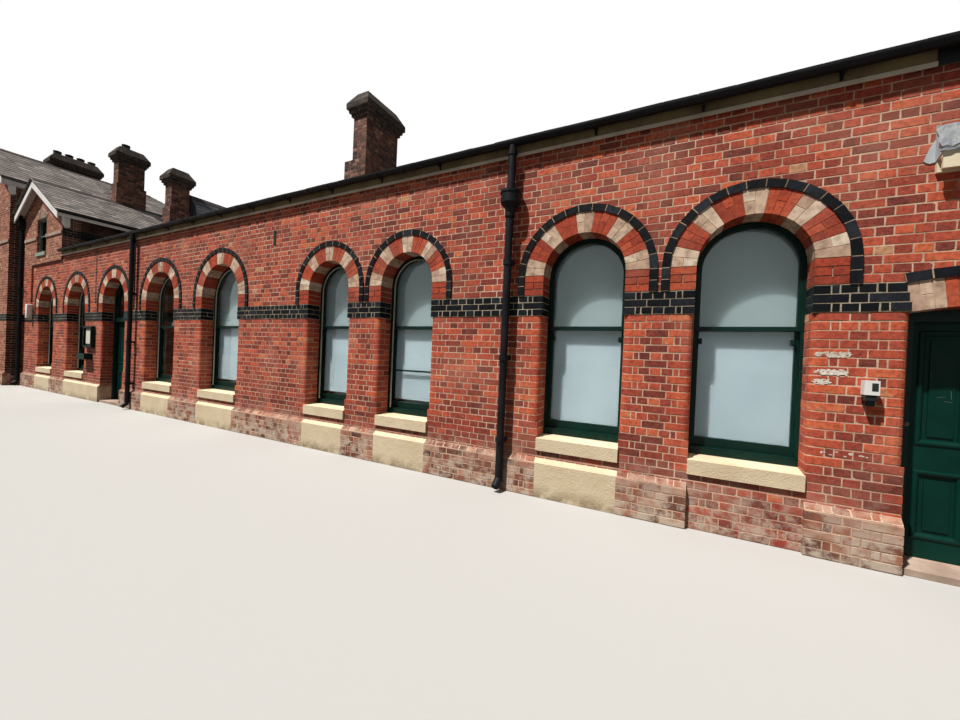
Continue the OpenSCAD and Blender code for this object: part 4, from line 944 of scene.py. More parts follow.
def label(work, plane, centre, radius, a0, a1):
    """Black bricks laid lengthwise round a ring, standing out from it on all three sides."""
    inner, outer = radius + RING, radius + RING + LABEL
    count = round(math.radians(a1 - a0) * (inner + LABEL / 2) / LABEL_BRICK)
    profile = [(outer, 0.0), (outer, LABEL_OUT), (inner, LABEL_OUT), (inner, BAND_OUT)]
    for i in range(count):
        b0, b1 = a0 + (a1 - a0) * i / count, a0 + (a1 - a0) * (i + 1) / count
        sector(work, plane, centre, profile, b0, b1, JOINT)


def upright(work, plane, s0, s1, z0, z1, out, gap):
    """A flat brick that stands out from the wall plane by a given amount."""
    g = gap / 2
    corners = ((s0 + g, z0 + g), (s1 - g, z0 + g), (s1 - g, z1 - g), (s0 + g, z1 - g))
    work.face([plane @ Vector((s, z, out)) for s, z in corners])


print("bricks on edge round a large arch:", round(math.pi * (LARGE + RING / 2) / RING_BRICK))

# %% The rings, stilted three courses above the band
STRIPES = [18, 22.5] * 4 + [18]
cream, red, black = Brickwork(), Brickwork(), Brickwork()
rear = wall_plane((0, BACK, 0), (-1, 0, 0))
wing = wall_plane((0, WING_FACE, 0), (1, 0, 0))
rings = [(front, x, r) for x, r in FRONT_ARCHES]
rings += [(rear, -x, r) for x, r in REAR_ARCHES if x != PLATFORM_DOOR]
rings += [(rear, -PLATFORM_DOOR, LARGE), (wing, WING_WINDOW, LARGE)]
for plane, x, r in rings:
    angle = 0
    for i, width in enumerate(STRIPES):
        stripe(red if i % 2 else cream, plane, (x, SPRING), r, angle, angle + width)
        angle += width
    label(black, plane, (x, SPRING), r, 0, 180)
    face_plane = plane @ Matrix.Translation((0, 0, BAND_OUT))
    for side in (-1, 1):
        near, away = x + side * r, x + side * (r + RING)
        for course in range(BAND_HIGH, BAND_HIGH + 3):
            z0 = course * COURSE
            cuts = [near, away] if course % 2 == 0 else [near, (near + away) / 2, away]
            for a, b in zip(cuts, cuts[1:]):
                if a == near:
                    red.turned_brick(face_plane, b, a, z0, z0 + COURSE, RING + BAND_OUT, 0)
                else:
                    upright(red, face_plane, min(a, b), max(a, b), z0, z0 + COURSE, 0, 0.007)
        edge = x + side * (r + RING + LABEL)
        corners = [(edge, 0.0), (edge, LABEL_OUT), (away, LABEL_OUT), (away, BAND_OUT)]
        for low, high in ((BAND_TOP, BAND_TOP + HALF), (BAND_TOP + HALF, SPRING)):
            rows = []
            for z in (low + JOINT / 2, high - JOINT / 2):
                rows.append([black.bm.verts.new(plane @ Vector((s, z, d))) for s, d in corners])
            bend(black, rows, CHANCE.random(), turned=side < 0)
print(len(rings), "rings of", len(STRIPES), "stripes")

# %% [markdown]
# ## The flat arch
# The end door is narrow, so a nearly flat arch of the same stripes spans it. A straight row of
# bricks would need a lintel. Here the joints point at a centre about 2.5 m down, as in a real
# gauged arch, so the helpers for rings serve again with a large radius.

# %% The flat arch over the end door
low_centre = (END_DOOR, BAND_Z - math.sqrt(DOOR_ARCH_R**2 - DOOR_HALF**2))
swing = math.degrees(math.asin(DOOR_HALF / DOOR_ARCH_R))
for i in range(5):
    a0 = 90 - swing + 2 * swing * i / 5
    stripe(red if i % 2 else cream, front, low_centre, DOOR_ARCH_R, a0, a0 + 2 * swing / 5)
label(black, front, low_centre, DOOR_ARCH_R, 90 - swing, 90 + swing)
cream.lift("cream_arch_bricks", RUBBED_CREAM, 0.003, 0.002)
red.lift("red_arch_bricks", RUBBED_RED, 0.003, 0.002)
black.lift("black_label_bricks", BLACK_BRICK, 0.003, 0.003)

# %% [markdown]
# ## The black band
# Three courses of black glazed bricks run between the openings at the height of the springing and
# turn into every reveal. They stand a little proud and are pointed in white.

# %% Band bricks all round the building
band = Brickwork()
out = Matrix.Translation((0, 0, BAND_OUT))


def door_feet(z):
    """The band stops against the sloping foot of the flat arch."""
    half = DOOR_HALF + (z - BAND_Z) * math.tan(math.radians(swing))
    return [(END_DOOR - half, END_DOOR + half)]


def band_openings(arches, extra=lambda z: []):
    return lambda z: [(x - r, x + r) for x, r in arches] + extra(z)


def unbroken(z):
    return []


edge = BAND_OUT  # the band stands out at both faces of a corner
mirrored_arches = [(-x, r) for x, r in REAR_ARCHES]
right_end = wall_plane((RIGHT, 0, 0), (0, 1, 0))
left_end = wall_plane((LEFT, 0, 0), (0, -1, 0))
wing_side = wall_plane((WING_RIGHT, 0, 0), (0, 1, 0))
for plane, s0, s1, holes, flip, wrap in (
    (front, WING_RIGHT, RIGHT + edge, band_openings(FRONT_ARCHES, door_feet), 0, (0, 1)),
    (wing, LEFT - edge, WING_RIGHT + edge, band_openings([(WING_WINDOW, LARGE)]), 0, (1, 1)),
    (rear, -RIGHT - edge, -LEFT + edge, band_openings(mirrored_arches), 0, (1, 1)),
    (right_end, FACE - edge, BACK + edge, unbroken, 1, (-1, -1)),
    (left_end, -BACK - edge, -WING_FACE + edge, unbroken, 1, (-1, -1)),
    (wing_side, WING_FACE - edge, FACE - edge, unbroken, 1, (-1, 0)),
):
    band.courses(plane @ out, s0, s1, BAND_LOW, BAND_HIGH, holes, flip=flip, wrap=wrap)
band.lift("black_band_bricks", BLACK_BRICK, 0.004, 0.003)

# %% [markdown]
# ## The other walls
# The photograph shows the front, part of the wing and the gable of the house bay. The back and the
# ends repeat the same brickwork plainly. A gable is laid as a full rectangle of courses and
# then cut to its slope with a bisecting plane, which is how a bricklayer's cut bricks look too.

# %% The gable of the house bay
HOUSE_RIDGE, HOUSE_RIDGE_Z, HOUSE_SLOPE = -7.45, 6.24, 0.565
WING_RIDGE_Z, WING_SLOPE, ROOF_T = 7.89, 0.645, 0.08
RANGE_SLOPE = 0.532
RANGE_RIDGE_Z = 4.01 + RANGE_SLOPE * BACK
HALL_RIDGE, HALL_RIDGE_Z, HALL_SLOPE = -4.55, 6.35, 1.0
UPPER_HALF, UPPER_LOW, UPPER_TOP = 0.389, 3.99, 5.10
LEDGE, LEDGE_OUT = 3.76, 0.04


def slope_clip(work, plane, ridge, height, slope):
    """Cuts a wall to a gable's two slopes, given in the wall's own terms."""
    for side in (-1, 1):
        peak = plane @ Vector((ridge, height, 0))
        along = plane.to_3x3() @ Vector((side, -slope, 0))
        out_of_wall = plane.to_3x3() @ Vector((0, 0, 1))
        normal = along.cross(out_of_wall)
        work.clip(peak, normal if normal.z > 0 else -normal)


def upper_window(middle):
    """The hole of an upper window, with its sill."""
    return lambda z: [(middle - UPPER_HALF, middle + UPPER_HALF)] if UPPER_LOW < z < UPPER_TOP else []


def shade_on_returns(work):
    """The second material, a near-black brick as painted shade, for what turns onto a side wall that faces
    away from the sun.
    """
    work.bm.normal_update()
    for face in work.bm.faces:
        off = min(abs(v.co.x - side_x) for v in face.verts for side_x in (HOUSE_RIGHT, WING_RIGHT))
        if face.normal.x > 0.9 and off < 0.01:
            face.material_index = 1


HOUSE_WINDOW = HOUSE_RIDGE + 0.12
house = Brickwork()
upper_front = wall_plane((0, FACE - LEDGE_OUT, 0), (1, 0, 0))
HOUSE_TOP = 85  # the courses end inside the roof and are cut to it
spans = (LEDGE_COURSE, STRING_LOW, 1), (STRING_LOW, STRING_HIGH, 0), (STRING_HIGH, HOUSE_TOP, 1)
house_hole = upper_window(HOUSE_WINDOW)
for low, high, corner in spans:
    house.courses(upper_front, WING_RIGHT, HOUSE_RIGHT, low, high, house_hole, wrap=(0, corner))
house.clip(Vector((0, 0, LEDGE + 0.004)), Vector((0, 0, -1)))
slope_clip(house, upper_front, HOUSE_RIDGE, HOUSE_RIDGE_Z - ROOF_T, HOUSE_SLOPE)
shade_on_returns(house)
house.lift("house_gable_bricks", GABLE_BRICK).data.materials.append(SHADE_BRICK)

# %% The strip beside the wing, the ledge and the house's side
STRIP_RIGHT = WING_RIGHT + 0.88
strip = Brickwork()
strip.courses(upper_front, WING_RIGHT, STRIP_RIGHT, BAND_HIGH, LEDGE_COURSE, wrap=(0, 1))
strip.lift("corner_strip_bricks", OLD_BRICK)
# Painted shade: the ledge's underside is faced with the darkest sooty bricks, a dark line under the step
ledge_shade = Brickwork()
for a, b in bond(STRIP_RIGHT, HOUSE_RIGHT, 1):
    spots = ((a, LEDGE_OUT + 0.006), (b, LEDGE_OUT + 0.006), (b, 0.0), (a, 0.0))
    ledge_shade.face([front @ Vector((s, LEDGE - 0.002, out)) for s, out in spots], CHANCE.uniform(0, 0.3))
ledge_shade.lift("ledge_underside_shade", SOOT_AND_SHADE_BRICK, 0.001, 0.003)

side = Brickwork()
house_side = wall_plane((HOUSE_RIGHT, 0, 0), (0, 1, 0))
SIDE_TOP, SIDE_BACK, STRING_BACK = 68, 0.6, 0.3
for low, high in ((LEDGE_COURSE + 1, STRING_LOW), (STRING_HIGH, SIDE_TOP)):
    side.courses(house_side, FACE - LEDGE_OUT, SIDE_BACK, low, high, flip=1, wrap=(-1, 0))
side_top = HOUSE_RIDGE_Z - ROOF_T - HOUSE_SLOPE * (HOUSE_RIGHT - HOUSE_RIDGE)
side.clip(Vector((0, 0, side_top)), Vector((0, 0, 1)))
side.lift("house_side_bricks", SHADE_BRICK)
dark_course = Brickwork()
dark_course.courses(house_side @ out, FACE - LEDGE_OUT, STRING_BACK, STRING_LOW, STRING_HIGH, flip=1)
dark_course.lift("house_side_band", BLACK_BRICK, 0.004, 0.003)

# %% [markdown]
# ## The wing
# The wing stands forward of the range, taller and under its own gable, so it shows a face on every
# side. Its courses turn each corner as real ones do: the front and back lay whole bricks round the
# arris, and the side walls start behind them. That is what wrap tells the helper.

# %% The wing's four walls
WING_TOP, SIDE_BREAK, WALL_TOP = 106, 64, 87
wing_low = arch_holes([(WING_WINDOW, LARGE)], lambda x: SILL_LOW)
work = Brickwork()
work.courses(wing, LEFT, WING_RIGHT, PLINTH_COURSES, BAND_LOW, wing_low, wrap=(1, 1), round_above=ROUND_ABOVE)
work.courses(wing, LEFT, WING_RIGHT, BAND_HIGH, LEDGE_COURSE, wing_low, lattice=True, wrap=(1, 1))
work.courses(wing, LEFT, WING_RIGHT, LEDGE_COURSE, WING_TOP, upper_window(WING_WINDOW), wrap=(1, 1))
slope_clip(work, wing, WING_WINDOW, WING_RIDGE_Z - ROOF_T, WING_SLOPE)
shade_on_returns(work)
work.lift("wing_bricks", GABLE_BRICK).data.materials.append(SHADE_BRICK)
work = Brickwork()
work.courses(wing_side, WING_FACE, FACE, 0, BAND_LOW, flip=1, wrap=(-1, 0))
work.courses(wing_side, WING_FACE, FACE, BAND_HIGH, SIDE_BREAK, flip=1, wrap=(-1, 0))
work.courses(wing_side, WING_FACE, BACK, SIDE_BREAK, WALL_TOP, flip=1, wrap=(-1, -1))
work.lift("wing_side_bricks", SHADE_BRICK)
work = Brickwork()
work.courses(left_end, -BACK, -WING_FACE, 0, BAND_LOW, flip=1, wrap=(-1, -1))
work.courses(left_end, -BACK, -WING_FACE, BAND_HIGH, WALL_TOP, flip=1, wrap=(-1, -1))
work.lift("wing_end_bricks", OLD_BRICK)

# %% [markdown]
# ## The right end
# The end wall is plain but for the band. Stepping each course to the slope would take a table of
# lengths, so it is laid too tall instead and cut to the roof, like the other gables.

# %% The right end, cut to the range roof
work = Brickwork()
work.courses(right_end, FACE, BACK, 0, BAND_LOW, flip=1, wrap=(-1, -1))
work.courses(right_end, FACE, BACK, BAND_HIGH, 75, flip=1, wrap=(-1, -1))
slope_clip(work, right_end, 0, RANGE_RIDGE_Z, RANGE_SLOPE)
work.lift("right_end_bricks", OLD_BRICK)

# %% [markdown]
# ## The back
# The photograph does not show the back. The construction gives it the windows of the front at the
# same places, so the same list of openings serves. It is mirrored, because a wall's own distances
# run the other way when it is seen from behind.

# %% The back, up to its three gables
REAR_COURSE, HALL_DROP, HALL_WIDE = 53, 0.112, 3.4
rear_openings = arch_holes(mirrored_arches, lambda x: SILL_LOW)
work = Brickwork()
work.courses(
    rear, -RIGHT, -LEFT, PLINTH_COURSES, BAND_LOW, rear_openings, wrap=(1, 1), round_above=ROUND_ABOVE
)
work.lift("rear_bricks_below_band", OLD_BRICK)
work = Brickwork()
work.courses(rear, -RIGHT, -LEFT, BAND_HIGH, REAR_COURSE, rear_openings, lattice=True, wrap=(1, 1))
work.lift("rear_bricks_above_band", OLD_BRICK)
work = Brickwork()
work.courses(rear, -HOUSE_RIGHT, -WING_RIGHT, REAR_COURSE, HOUSE_TOP, upper_window(-HOUSE_WINDOW))
slope_clip(work, rear, -HOUSE_RIDGE, HOUSE_RIDGE_Z - ROOF_T, HOUSE_SLOPE)
work.lift("rear_house_gable_bricks", OLD_BRICK)
work = Brickwork()
work.courses(rear, -WING_RIGHT, -LEFT, REAR_COURSE, WALL_TOP, upper_window(-WING_WINDOW), wrap=(0, 1))
work.lift("rear_wing_bricks", OLD_BRICK)
work = Brickwork()
work.courses(rear, -HOUSE_RIGHT - HALL_WIDE, -HOUSE_RIGHT, REAR_COURSE, HOUSE_TOP)
slope_clip(work, rear, -HALL_RIDGE, HALL_RIDGE_Z - HALL_DROP, HALL_SLOPE)
work.lift("rear_hall_gable_bricks", OLD_BRICK)

# %% [markdown]
# ## Slates
# A slate lies on the two courses under it, so its tail stands off the roof and its head does not.
# Each one is a tilted face with a thin tail and two thin sides. Every other course starts with
# half a slate, and valleys and hips are cut with a plane as the gables were.

# %% Laying slates on a slope
GAUGE, SLATE_W, SLATE_GAP = 0.195, 0.30, 0.004


def slope_plane(corner, along, up):
    """A matrix from (distance along the eaves, distance up the slope, distance out) to the world."""
    along, up = Vector(along).normalized(), Vector(up).normalized()
    turn = Matrix((along, up, along.cross(up))).transposed().to_4x4()
    return Matrix.Translation(Vector(corner)) @ turn


def slating(name, slopes, material):
    """Slates on several slopes as one piece. A slope is a plane, a width, a length and its cuts."""
    whole = Brickwork()
    for plane, width, length, cuts in slopes:
        work = Brickwork()
        rows = math.ceil(length / GAUGE)
        gauge = length / rows
        for row in range(rows):
            y0, y1 = row * gauge, (row + 1) * gauge
            spot = -SLATE_W / 2 * (row % 2)
            while spot < width - 0.02:
                s0, s1 = max(spot, 0), min(spot + SLATE_W, width)
                spot += SLATE_W
                if s1 - s0 < 0.03:
                    continue
                slip, lean = CHANCE.uniform(0, 0.004), CHANCE.uniform(-0.002, 0.002)
                tail, head = 0.011 + slip, 0.003
                a, b = s0 + SLATE_GAP / 2, s1 - SLATE_GAP / 2
                low, high = y0 - slip - 0.004, y1 + 0.002
                tone = CHANCE.gauss(0.5, 0.17)
                corners = [(a, low, tail + lean), (b, low, tail - lean), (b, high, head), (a, high, head)]
                top = [plane @ Vector(c) for c in corners]
                foot = [plane @ Vector((c[0], c[1], 0.0)) for c in corners]
                work.face(top, tone)
                for i in (0, 1, 3):
                    k = (i + 1) % 4
                    work.face([top[i], foot[i], foot[k], top[k]], tone)
        for point, outward in cuts:
            work.clip(Vector(point), Vector(outward))
        for face in work.bm.faces:
            whole.face([v.co for v in face.verts], face[work.tone])
        work.bm.free()
    made = new_object(whole.bm, name)
    made.data.materials.append(material)
    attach(made, "root")
    print(name, len(made.data.polygons), "faces")


print("a full slate is", SLATE_W, "m wide and shows", GAUGE, "m")

# %% [markdown]
# ## Four roofs
# The range has a plain double slope, the house bay and the hall beside it run into it with
# valleys, and the wing ends in a hip. Working out each cut slate would be slow, so a slope is laid
# as a full rectangle and then cut by planes, one for each valley or hip.

# %% Slates of the range
SLATES_AT_WALL, OVERHANG, RANGE_END, RANGE_TOP = 4.09, 0.07, 13.06, 5.686
RANGE_EAVES, EAVES_Z = BACK + OVERHANG, SLATES_AT_WALL - OVERHANG * RANGE_SLOPE
RANGE_LENGTH = RANGE_EAVES * math.sqrt(1 + RANGE_SLOPE**2)
VALLEY = (HOUSE_RIDGE + (HOUSE_RIDGE_Z - RANGE_TOP) / HOUSE_SLOPE, 0, 0)
front_rise, back_rise = Vector((0, 1, RANGE_SLOPE)), Vector((0, -1, RANGE_SLOPE))
range_front = slope_plane((HOUSE_RIGHT, -RANGE_EAVES, EAVES_Z), (1, 0, 0), front_rise)
range_valley = slope_plane((HOUSE_RIDGE, -RANGE_EAVES, EAVES_Z), (1, 0, 0), front_rise)
range_back = slope_plane((RANGE_END, RANGE_EAVES, EAVES_Z), (-1, 0, 0), back_rise)
slating(
    "range_slates",
    [
        (range_front, RANGE_END - HOUSE_RIGHT, RANGE_LENGTH, []),
        (range_valley, HOUSE_RIGHT - HOUSE_RIDGE, RANGE_LENGTH, [(VALLEY, (-HOUSE_SLOPE, -RANGE_SLOPE, 0))]),
        (range_back, RANGE_END - HOUSE_RIGHT, RANGE_LENGTH, []),
    ],
    SLATE,
)

# %% Slates of the house, the wing and the hall
def pitched(ridge, ridge_z, half, side, y0, y1, slope=HOUSE_SLOPE):
    """One slope beside a ridge that runs along y; side is 1 for the right-hand slope."""
    corner = (ridge + side * half, y0 if side > 0 else y1, ridge_z - slope * half)
    return slope_plane(corner, (0, side, 0), (-side, 0, slope)), y1 - y0, half * math.sqrt(1 + slope**2)


HOUSE_RUN, HOUSE_LEFT_RUN = 2.08, 1.55  # the left slope ends at the wing
ROOF_OUT, FRONT_LAP, VERGE = 3.25, 0.25, 0.045
right_front = pitched(HOUSE_RIDGE, HOUSE_RIDGE_Z, HOUSE_RUN, 1, -ROOF_OUT - VERGE, 0.0)
right_back = pitched(HOUSE_RIDGE, HOUSE_RIDGE_Z, HOUSE_RUN, 1, 0.0, ROOF_OUT)
left_slope = pitched(HOUSE_RIDGE, HOUSE_RIDGE_Z, HOUSE_LEFT_RUN, -1, -ROOF_OUT - VERGE, ROOF_OUT)
house_slopes = [
    (*right_front, [(VALLEY, (HOUSE_SLOPE, RANGE_SLOPE, 0))]),
    (*right_back, [(VALLEY, (HOUSE_SLOPE, -RANGE_SLOPE, 0))]),
    (*left_slope, []),
]
slating("house_slates", house_slopes, SLATE)

WING_HALF, HIP_Y = 2.25, 1.0
hip_top, hip_foot = (WING_WINDOW, HIP_Y, 0), WING_RIDGE_Z - WING_SLOPE * WING_HALF
wing_front = WING_FACE - FRONT_LAP - VERGE
wing_slopes = []
for side in (1, -1):
    slope = pitched(WING_WINDOW, WING_RIDGE_Z, WING_HALF, side, wing_front, ROOF_OUT, WING_SLOPE)
    wing_slopes.append((*slope, [(hip_top, (-side, 1, 0))]))
hip_plane = slope_plane((WING_WINDOW + WING_HALF, ROOF_OUT, hip_foot), (-1, 0, 0), (0, -1, WING_SLOPE))
hip_cuts = [(hip_top, (side, -1, 0)) for side in (1, -1)]
wing_slopes.append((hip_plane, 2 * WING_HALF, WING_HALF * math.sqrt(1 + WING_SLOPE**2), hip_cuts))
slating("wing_slates", wing_slopes, SLATE)

# The hall's slates stop where they meet the house's slope
HALL_RUN, HALL_START = 2.15, -0.5
hall_valley = ((HOUSE_RIDGE, 0, HOUSE_RIDGE_Z), (-HOUSE_SLOPE, 0, -1))
hall_slopes = []
for side in (1, -1):
    slope = pitched(HALL_RIDGE, HALL_RIDGE_Z, HALL_RUN, side, HALL_START, ROOF_OUT, HALL_SLOPE)
    hall_slopes.append((*slope, [hall_valley]))
slating("hall_slates", hall_slopes, DARK_SLATE)

# %% [markdown]
# ## Ridge joints and chimneys
# Ridge tiles are 45 cm long and butt together over a bed of mortar, so a thin collar marks each
# joint. Chimney bricks are laid on the four faces of each shaft, foot and stepped course.

# %% Collars over the ridge joints
collars = Brickwork()
TILE_LENGTH, TILE_T = 0.45, 0.022
COLLAR_REACH, COLLAR_HALF, COLLAR_T = 0.128, 0.018, 0.006


def ridge_collars(start, end, slope):
    """Bent strips across a ridge, between two points on its top line."""
    along, up = (end - start).normalized(), Vector((0, 0, 1))
    out = along.cross(up)
    lift, spot = up * COLLAR_T, TILE_LENGTH
    while spot < (end - start).length - 0.1:
        for side in (-1, 1):
            edge = out * side * COLLAR_REACH - up * slope * COLLAR_REACH
            a, b = start + along * (spot - COLLAR_HALF), start + along * (spot + COLLAR_HALF)
            spots = [a + lift, b + lift, b + edge + lift, a + edge + lift]
            collars.face(spots if side < 0 else spots[::-1])
            for p, q in ((a, a + edge), (b, b + edge)):
                collars.face([p, p + lift, q + lift, q])
        spot += TILE_LENGTH


RIDGES = [
    ((HOUSE_RIDGE, 0, RANGE_TOP), (RANGE_END, 0, RANGE_TOP), RANGE_SLOPE),
    ((HOUSE_RIDGE, -ROOF_OUT, HOUSE_RIDGE_Z), (HOUSE_RIDGE, ROOF_OUT, HOUSE_RIDGE_Z), HOUSE_SLOPE),
    ((WING_WINDOW, WING_FACE - FRONT_LAP, WING_RIDGE_Z), (WING_WINDOW, HIP_Y, WING_RIDGE_Z), WING_SLOPE),
    ((HALL_RIDGE, HALL_START, HALL_RIDGE_Z), (HALL_RIDGE, ROOF_OUT, HALL_RIDGE_Z), HALL_SLOPE),
]
for start, end, slope in RIDGES:
    lift = Vector((0, 0, TILE_T))
    ridge_collars(Vector(start) + lift, Vector(end) + lift, slope)
bmesh.ops.recalc_face_normals(collars.bm, faces=collars.bm.faces)
made = new_object(collars.bm, "ridge_joints")
made.data.materials.append(RIDGE_CLAY)
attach(made, "root")
print("ridge_joints", len(made.data.polygons), "faces")

# %% A course of bricks round a stack


def brick_ring(work, low, high, z0, z1, course):
    """One course round a stack. low and high are x0, x1, y0, y1 at its bottom and its top."""
    g = JOINT / 2

    def corners(box, z):
        x0, x1, y0, y1 = box
        return [Vector(p) for p in ((x0, y0, z), (x1, y0, z), (x1, y1, z), (x0, y1, z))]

    bottom, top = corners(low, z0), corners(high, z1)
    for i in range(4):
        a, b, c, d = bottom[i], bottom[(i + 1) % 4], top[i], top[(i + 1) % 4]
        length = (b - a).length
        up = (c - a + d - b).normalized()
        for s0, s1 in bond(0, length, course + i):
            f0, f1 = (s0 + g) / length, (s1 - g) / length
            low = [a.lerp(b, f0) + up * g, a.lerp(b, f1) + up * g]
            high = [c.lerp(d, f1) - up * g, c.lerp(d, f0) - up * g]
            work.face(low + high)


def grown(box, out, left=0.0):
    """A stack's outline moved outwards on all sides, and further still on the left."""
    return (box[0] - out - left, box[1] + out, box[2] - out, box[3] + out)


print("a stack grown by 0.04 m:", grown((0, 1, 0, 1), 0.04))

# %% Chimney bricks
FOOT_OUT, OVERSAIL, FLAUNCH, LIP = 0.045, 0.040, 0.300, 0.045
# Each stack's x0, x1, y0, y1, then the heights of its top, start and foot, then how much further
# the foot reaches to the left
STACKS = [
    ((3.225, 3.61, -1.0, 0.0), 7.175, 4.975, 5.70, 0.14),
    ((-4.92, -4.535, -1.0, -0.5), 7.05, 4.975, 5.82, 0.0),
    ((-7.81, -7.45, -1.3, -0.57), 8.21, 5.925, 6.93, 0.0),
    ((-11.6, -11.15, -1.9, -0.63), 8.45, 7.35, 7.35, 0.0),
]
shafts, caps = Brickwork(), Brickwork()
for box, top, start, foot, left in STACKS:
    shaft_top, cap = top - FLAUNCH - 3 * COURSE, top - FLAUNCH
    rows = round((foot - start) / COURSE)
    for i in range(rows):
        z, ring = foot - (rows - i) * COURSE, grown(box, FOOT_OUT, left)
        brick_ring(shafts, ring, ring, z, z + COURSE, i)
    rows = math.ceil((shaft_top - foot) / COURSE)
    for i in range(rows):
        z = shaft_top - (rows - i) * COURSE
        brick_ring(shafts, box, box, z, z + COURSE, i)
    for i in range(3):
        ring = grown(box, (i + 1) * OVERSAIL)
        brick_ring(caps, ring, ring, shaft_top + i * COURSE, shaft_top + (i + 1) * COURSE, i)
    brick_ring(caps, ring, ring, cap, cap + LIP, 1)
    for i in range(3):
        spans = [3 * OVERSAIL - 4 * OVERSAIL * k / 3 for k in (i, i + 1)]
        heights = [cap + LIP + (FLAUNCH - LIP) * k / 3 for k in (i, i + 1)]
        brick_ring(caps, grown(box, spans[0]), grown(box, spans[1]), *heights, i)
shafts.lift("chimney_bricks", STACK_BRICK)
caps.lift("chimney_head_bricks", SOOT_AND_SHADE_BRICK)

# %% [markdown]
# ## Helpers for small pieces
# Gutters, brackets, beads, pipes and vents are the fine trim that tells a viewer how large the
# building is. Nearly all of them are boxes, tubes or solids between two outlines, so a handful of
# helpers shapes them, and one more makes each finished bmesh into a piece.

# %% Box, tube, solid and arched strip


def add_box(bm, x0, x1, y0, y1, z0, z1, soften=0.0):
    """A box, with its edges rounded over by a bevel where soften is given."""
    place = Matrix.Translation(((x0 + x1) / 2, (y0 + y1) / 2, (z0 + z1) / 2))
    size = Matrix.Diagonal((x1 - x0, y1 - y0, z1 - z0, 1))
    made = bmesh.ops.create_cube(bm, size=1, matrix=place @ size)
    if soften:
        edges = {e for v in made["verts"] for e in v.link_edges}
        bmesh.ops.bevel(bm, geom=list(edges), offset=soften, segments=2, affect="EDGES", profile=0.5)


def add_tube(bm, points, radius, sides=10):
    """A round bar through a list of points, mitred at its corners."""
    points = [Vector(p) for p in points]
    rings = []
    for i, point in enumerate(points):
        before = (point - points[i - 1]).normalized() if i else None
        after = (points[i + 1] - point).normalized() if i < len(points) - 1 else None
        ahead = ((before or after) + (after or before)).normalized()
        across = ahead.cross(Vector((0.3, 0.2, 0.93))).normalized()
        other = ahead.cross(across)
        angles = [math.tau * k / sides for k in range(sides)]
        turn = [across * math.cos(a) + other * math.sin(a) for a in angles]
        rings.append([bm.verts.new(point + t * radius) for t in turn])
    for low, high in zip(rings, rings[1:]):
        for k in range(sides):
            bm.faces.new([low[k], low[(k + 1) % sides], high[(k + 1) % sides], high[k]])
    bm.faces.new(rings[0])
    bm.faces.new(rings[-1])


def add_solid(bm, outlines):
    """A solid between two outlines of as many corners."""
    rows = [[bm.verts.new(p) for p in outline] for outline in outlines]
    for row in rows:
        bm.faces.new(row)
    for i in range(len(rows[0])):
        k = (i + 1) % len(rows[0])
        bm.faces.new([rows[0][i], rows[0][k], rows[1][k], rows[1][i]])


def add_arched_strip(bm, x, outer, inner, y0, y1, low, steps=28):
    """A flat strip up one jamb, round the arch and down the other, between two radii."""
    turns = [math.radians(180 * k / steps) for k in range(steps + 1)]
    rows = []
    for radius, y in ((outer, y0), (inner, y0), (inner, y1), (outer, y1)):
        line = [(x + radius, low)]
        line += [(x + radius * math.cos(a), SPRING + radius * math.sin(a)) for a in turns]
        line.append((x - radius, low))
        rows.append([bm.verts.new((s, y, z)) for s, z in line])
    for i in range(4):
        one, two = rows[i], rows[(i + 1) % 4]
        for k in range(len(one) - 1):
            bm.faces.new([one[k], one[k + 1], two[k + 1], two[k]])
    bm.faces.new([row[0] for row in rows])
    bm.faces.new([row[-1] for row in rows])


print("four shapes ready")

# %% From a bmesh to a piece


def piece(bm, name, material, body="root", smooth=False):
    """A finished bmesh as a piece that rides on a body."""
    bmesh.ops.recalc_face_normals(bm, faces=bm.faces)
    for face in bm.faces:
        face.smooth = smooth
    made = new_object(bm, name)
    made.data.materials.append(material)
    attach(made, body)
    print(name, len(made.data.polygons), "faces")
    return made


def boxes(name, material, rows, smooth=False):
    """A piece made of boxes alone, each a row of numbers as add_box takes them."""
    bm = bmesh.new()
    for row in rows:
        add_box(bm, *row)
    return piece(bm, name, material, smooth=smooth)


print("pieces can be made of one bmesh or of rows of boxes")

# %% [markdown]
# ## The lead-covered hood
# The small hood over the end door is dressed with sheet lead, which sags, dents and laps over the
# edges. It could be sculpted. A grid of points with a little chance in each, made into a sheet
# by solidify, is lighter and can be laid again at another size.

# %% The lead-covered hood
LEAD = gloss_paint(
    "weathered lead", (168, 176, 186), (206, 208, 206), 0.55, (12, 12, 12), (112, 122, 136)
)
HOOD_HALF, HOOD_OUT, HOOD_Z = 0.39, 0.11, 3.06
LEAD_LAP = 0.03
sheet = bmesh.new()
columns, rows = 30, 9
profile = (-HOOD_OUT - 0.012, HOOD_Z + 0.115), (-HOOD_OUT - 0.014, HOOD_Z + 0.155), (-0.004, HOOD_Z + 0.362)
drip_edge, fold, head = (Vector(p) for p in profile)
lines = [drip_edge.lerp(fold, t / 2) for t in range(2)]
lines += [fold.lerp(head, t / (rows - 3)) for t in range(rows - 2)]
grid = []
for j, (out_y, z) in enumerate(lines):
    row = []
    for i in range(columns + 1):
        reach = HOOD_HALF + LEAD_LAP * (1 - 0.75 * j / (rows - 1)) * (1 + 0.35 * math.sin(j * 2.1))
        x = END_DOOR - reach + 2 * reach * i / columns
        dent = CHANCE.uniform(0, 0.009) + 0.004 * math.sin(i * 1.7 + j)
        spot = (x, FACE + out_y - max(dent, 0), z + CHANCE.uniform(-0.007, 0.007))
        row.append(sheet.verts.new(spot))
    grid.append(row)
for low, high in zip(grid, grid[1:]):
    for i in range(columns):
        sheet.faces.new([low[i], low[i + 1], high[i + 1], high[i]])
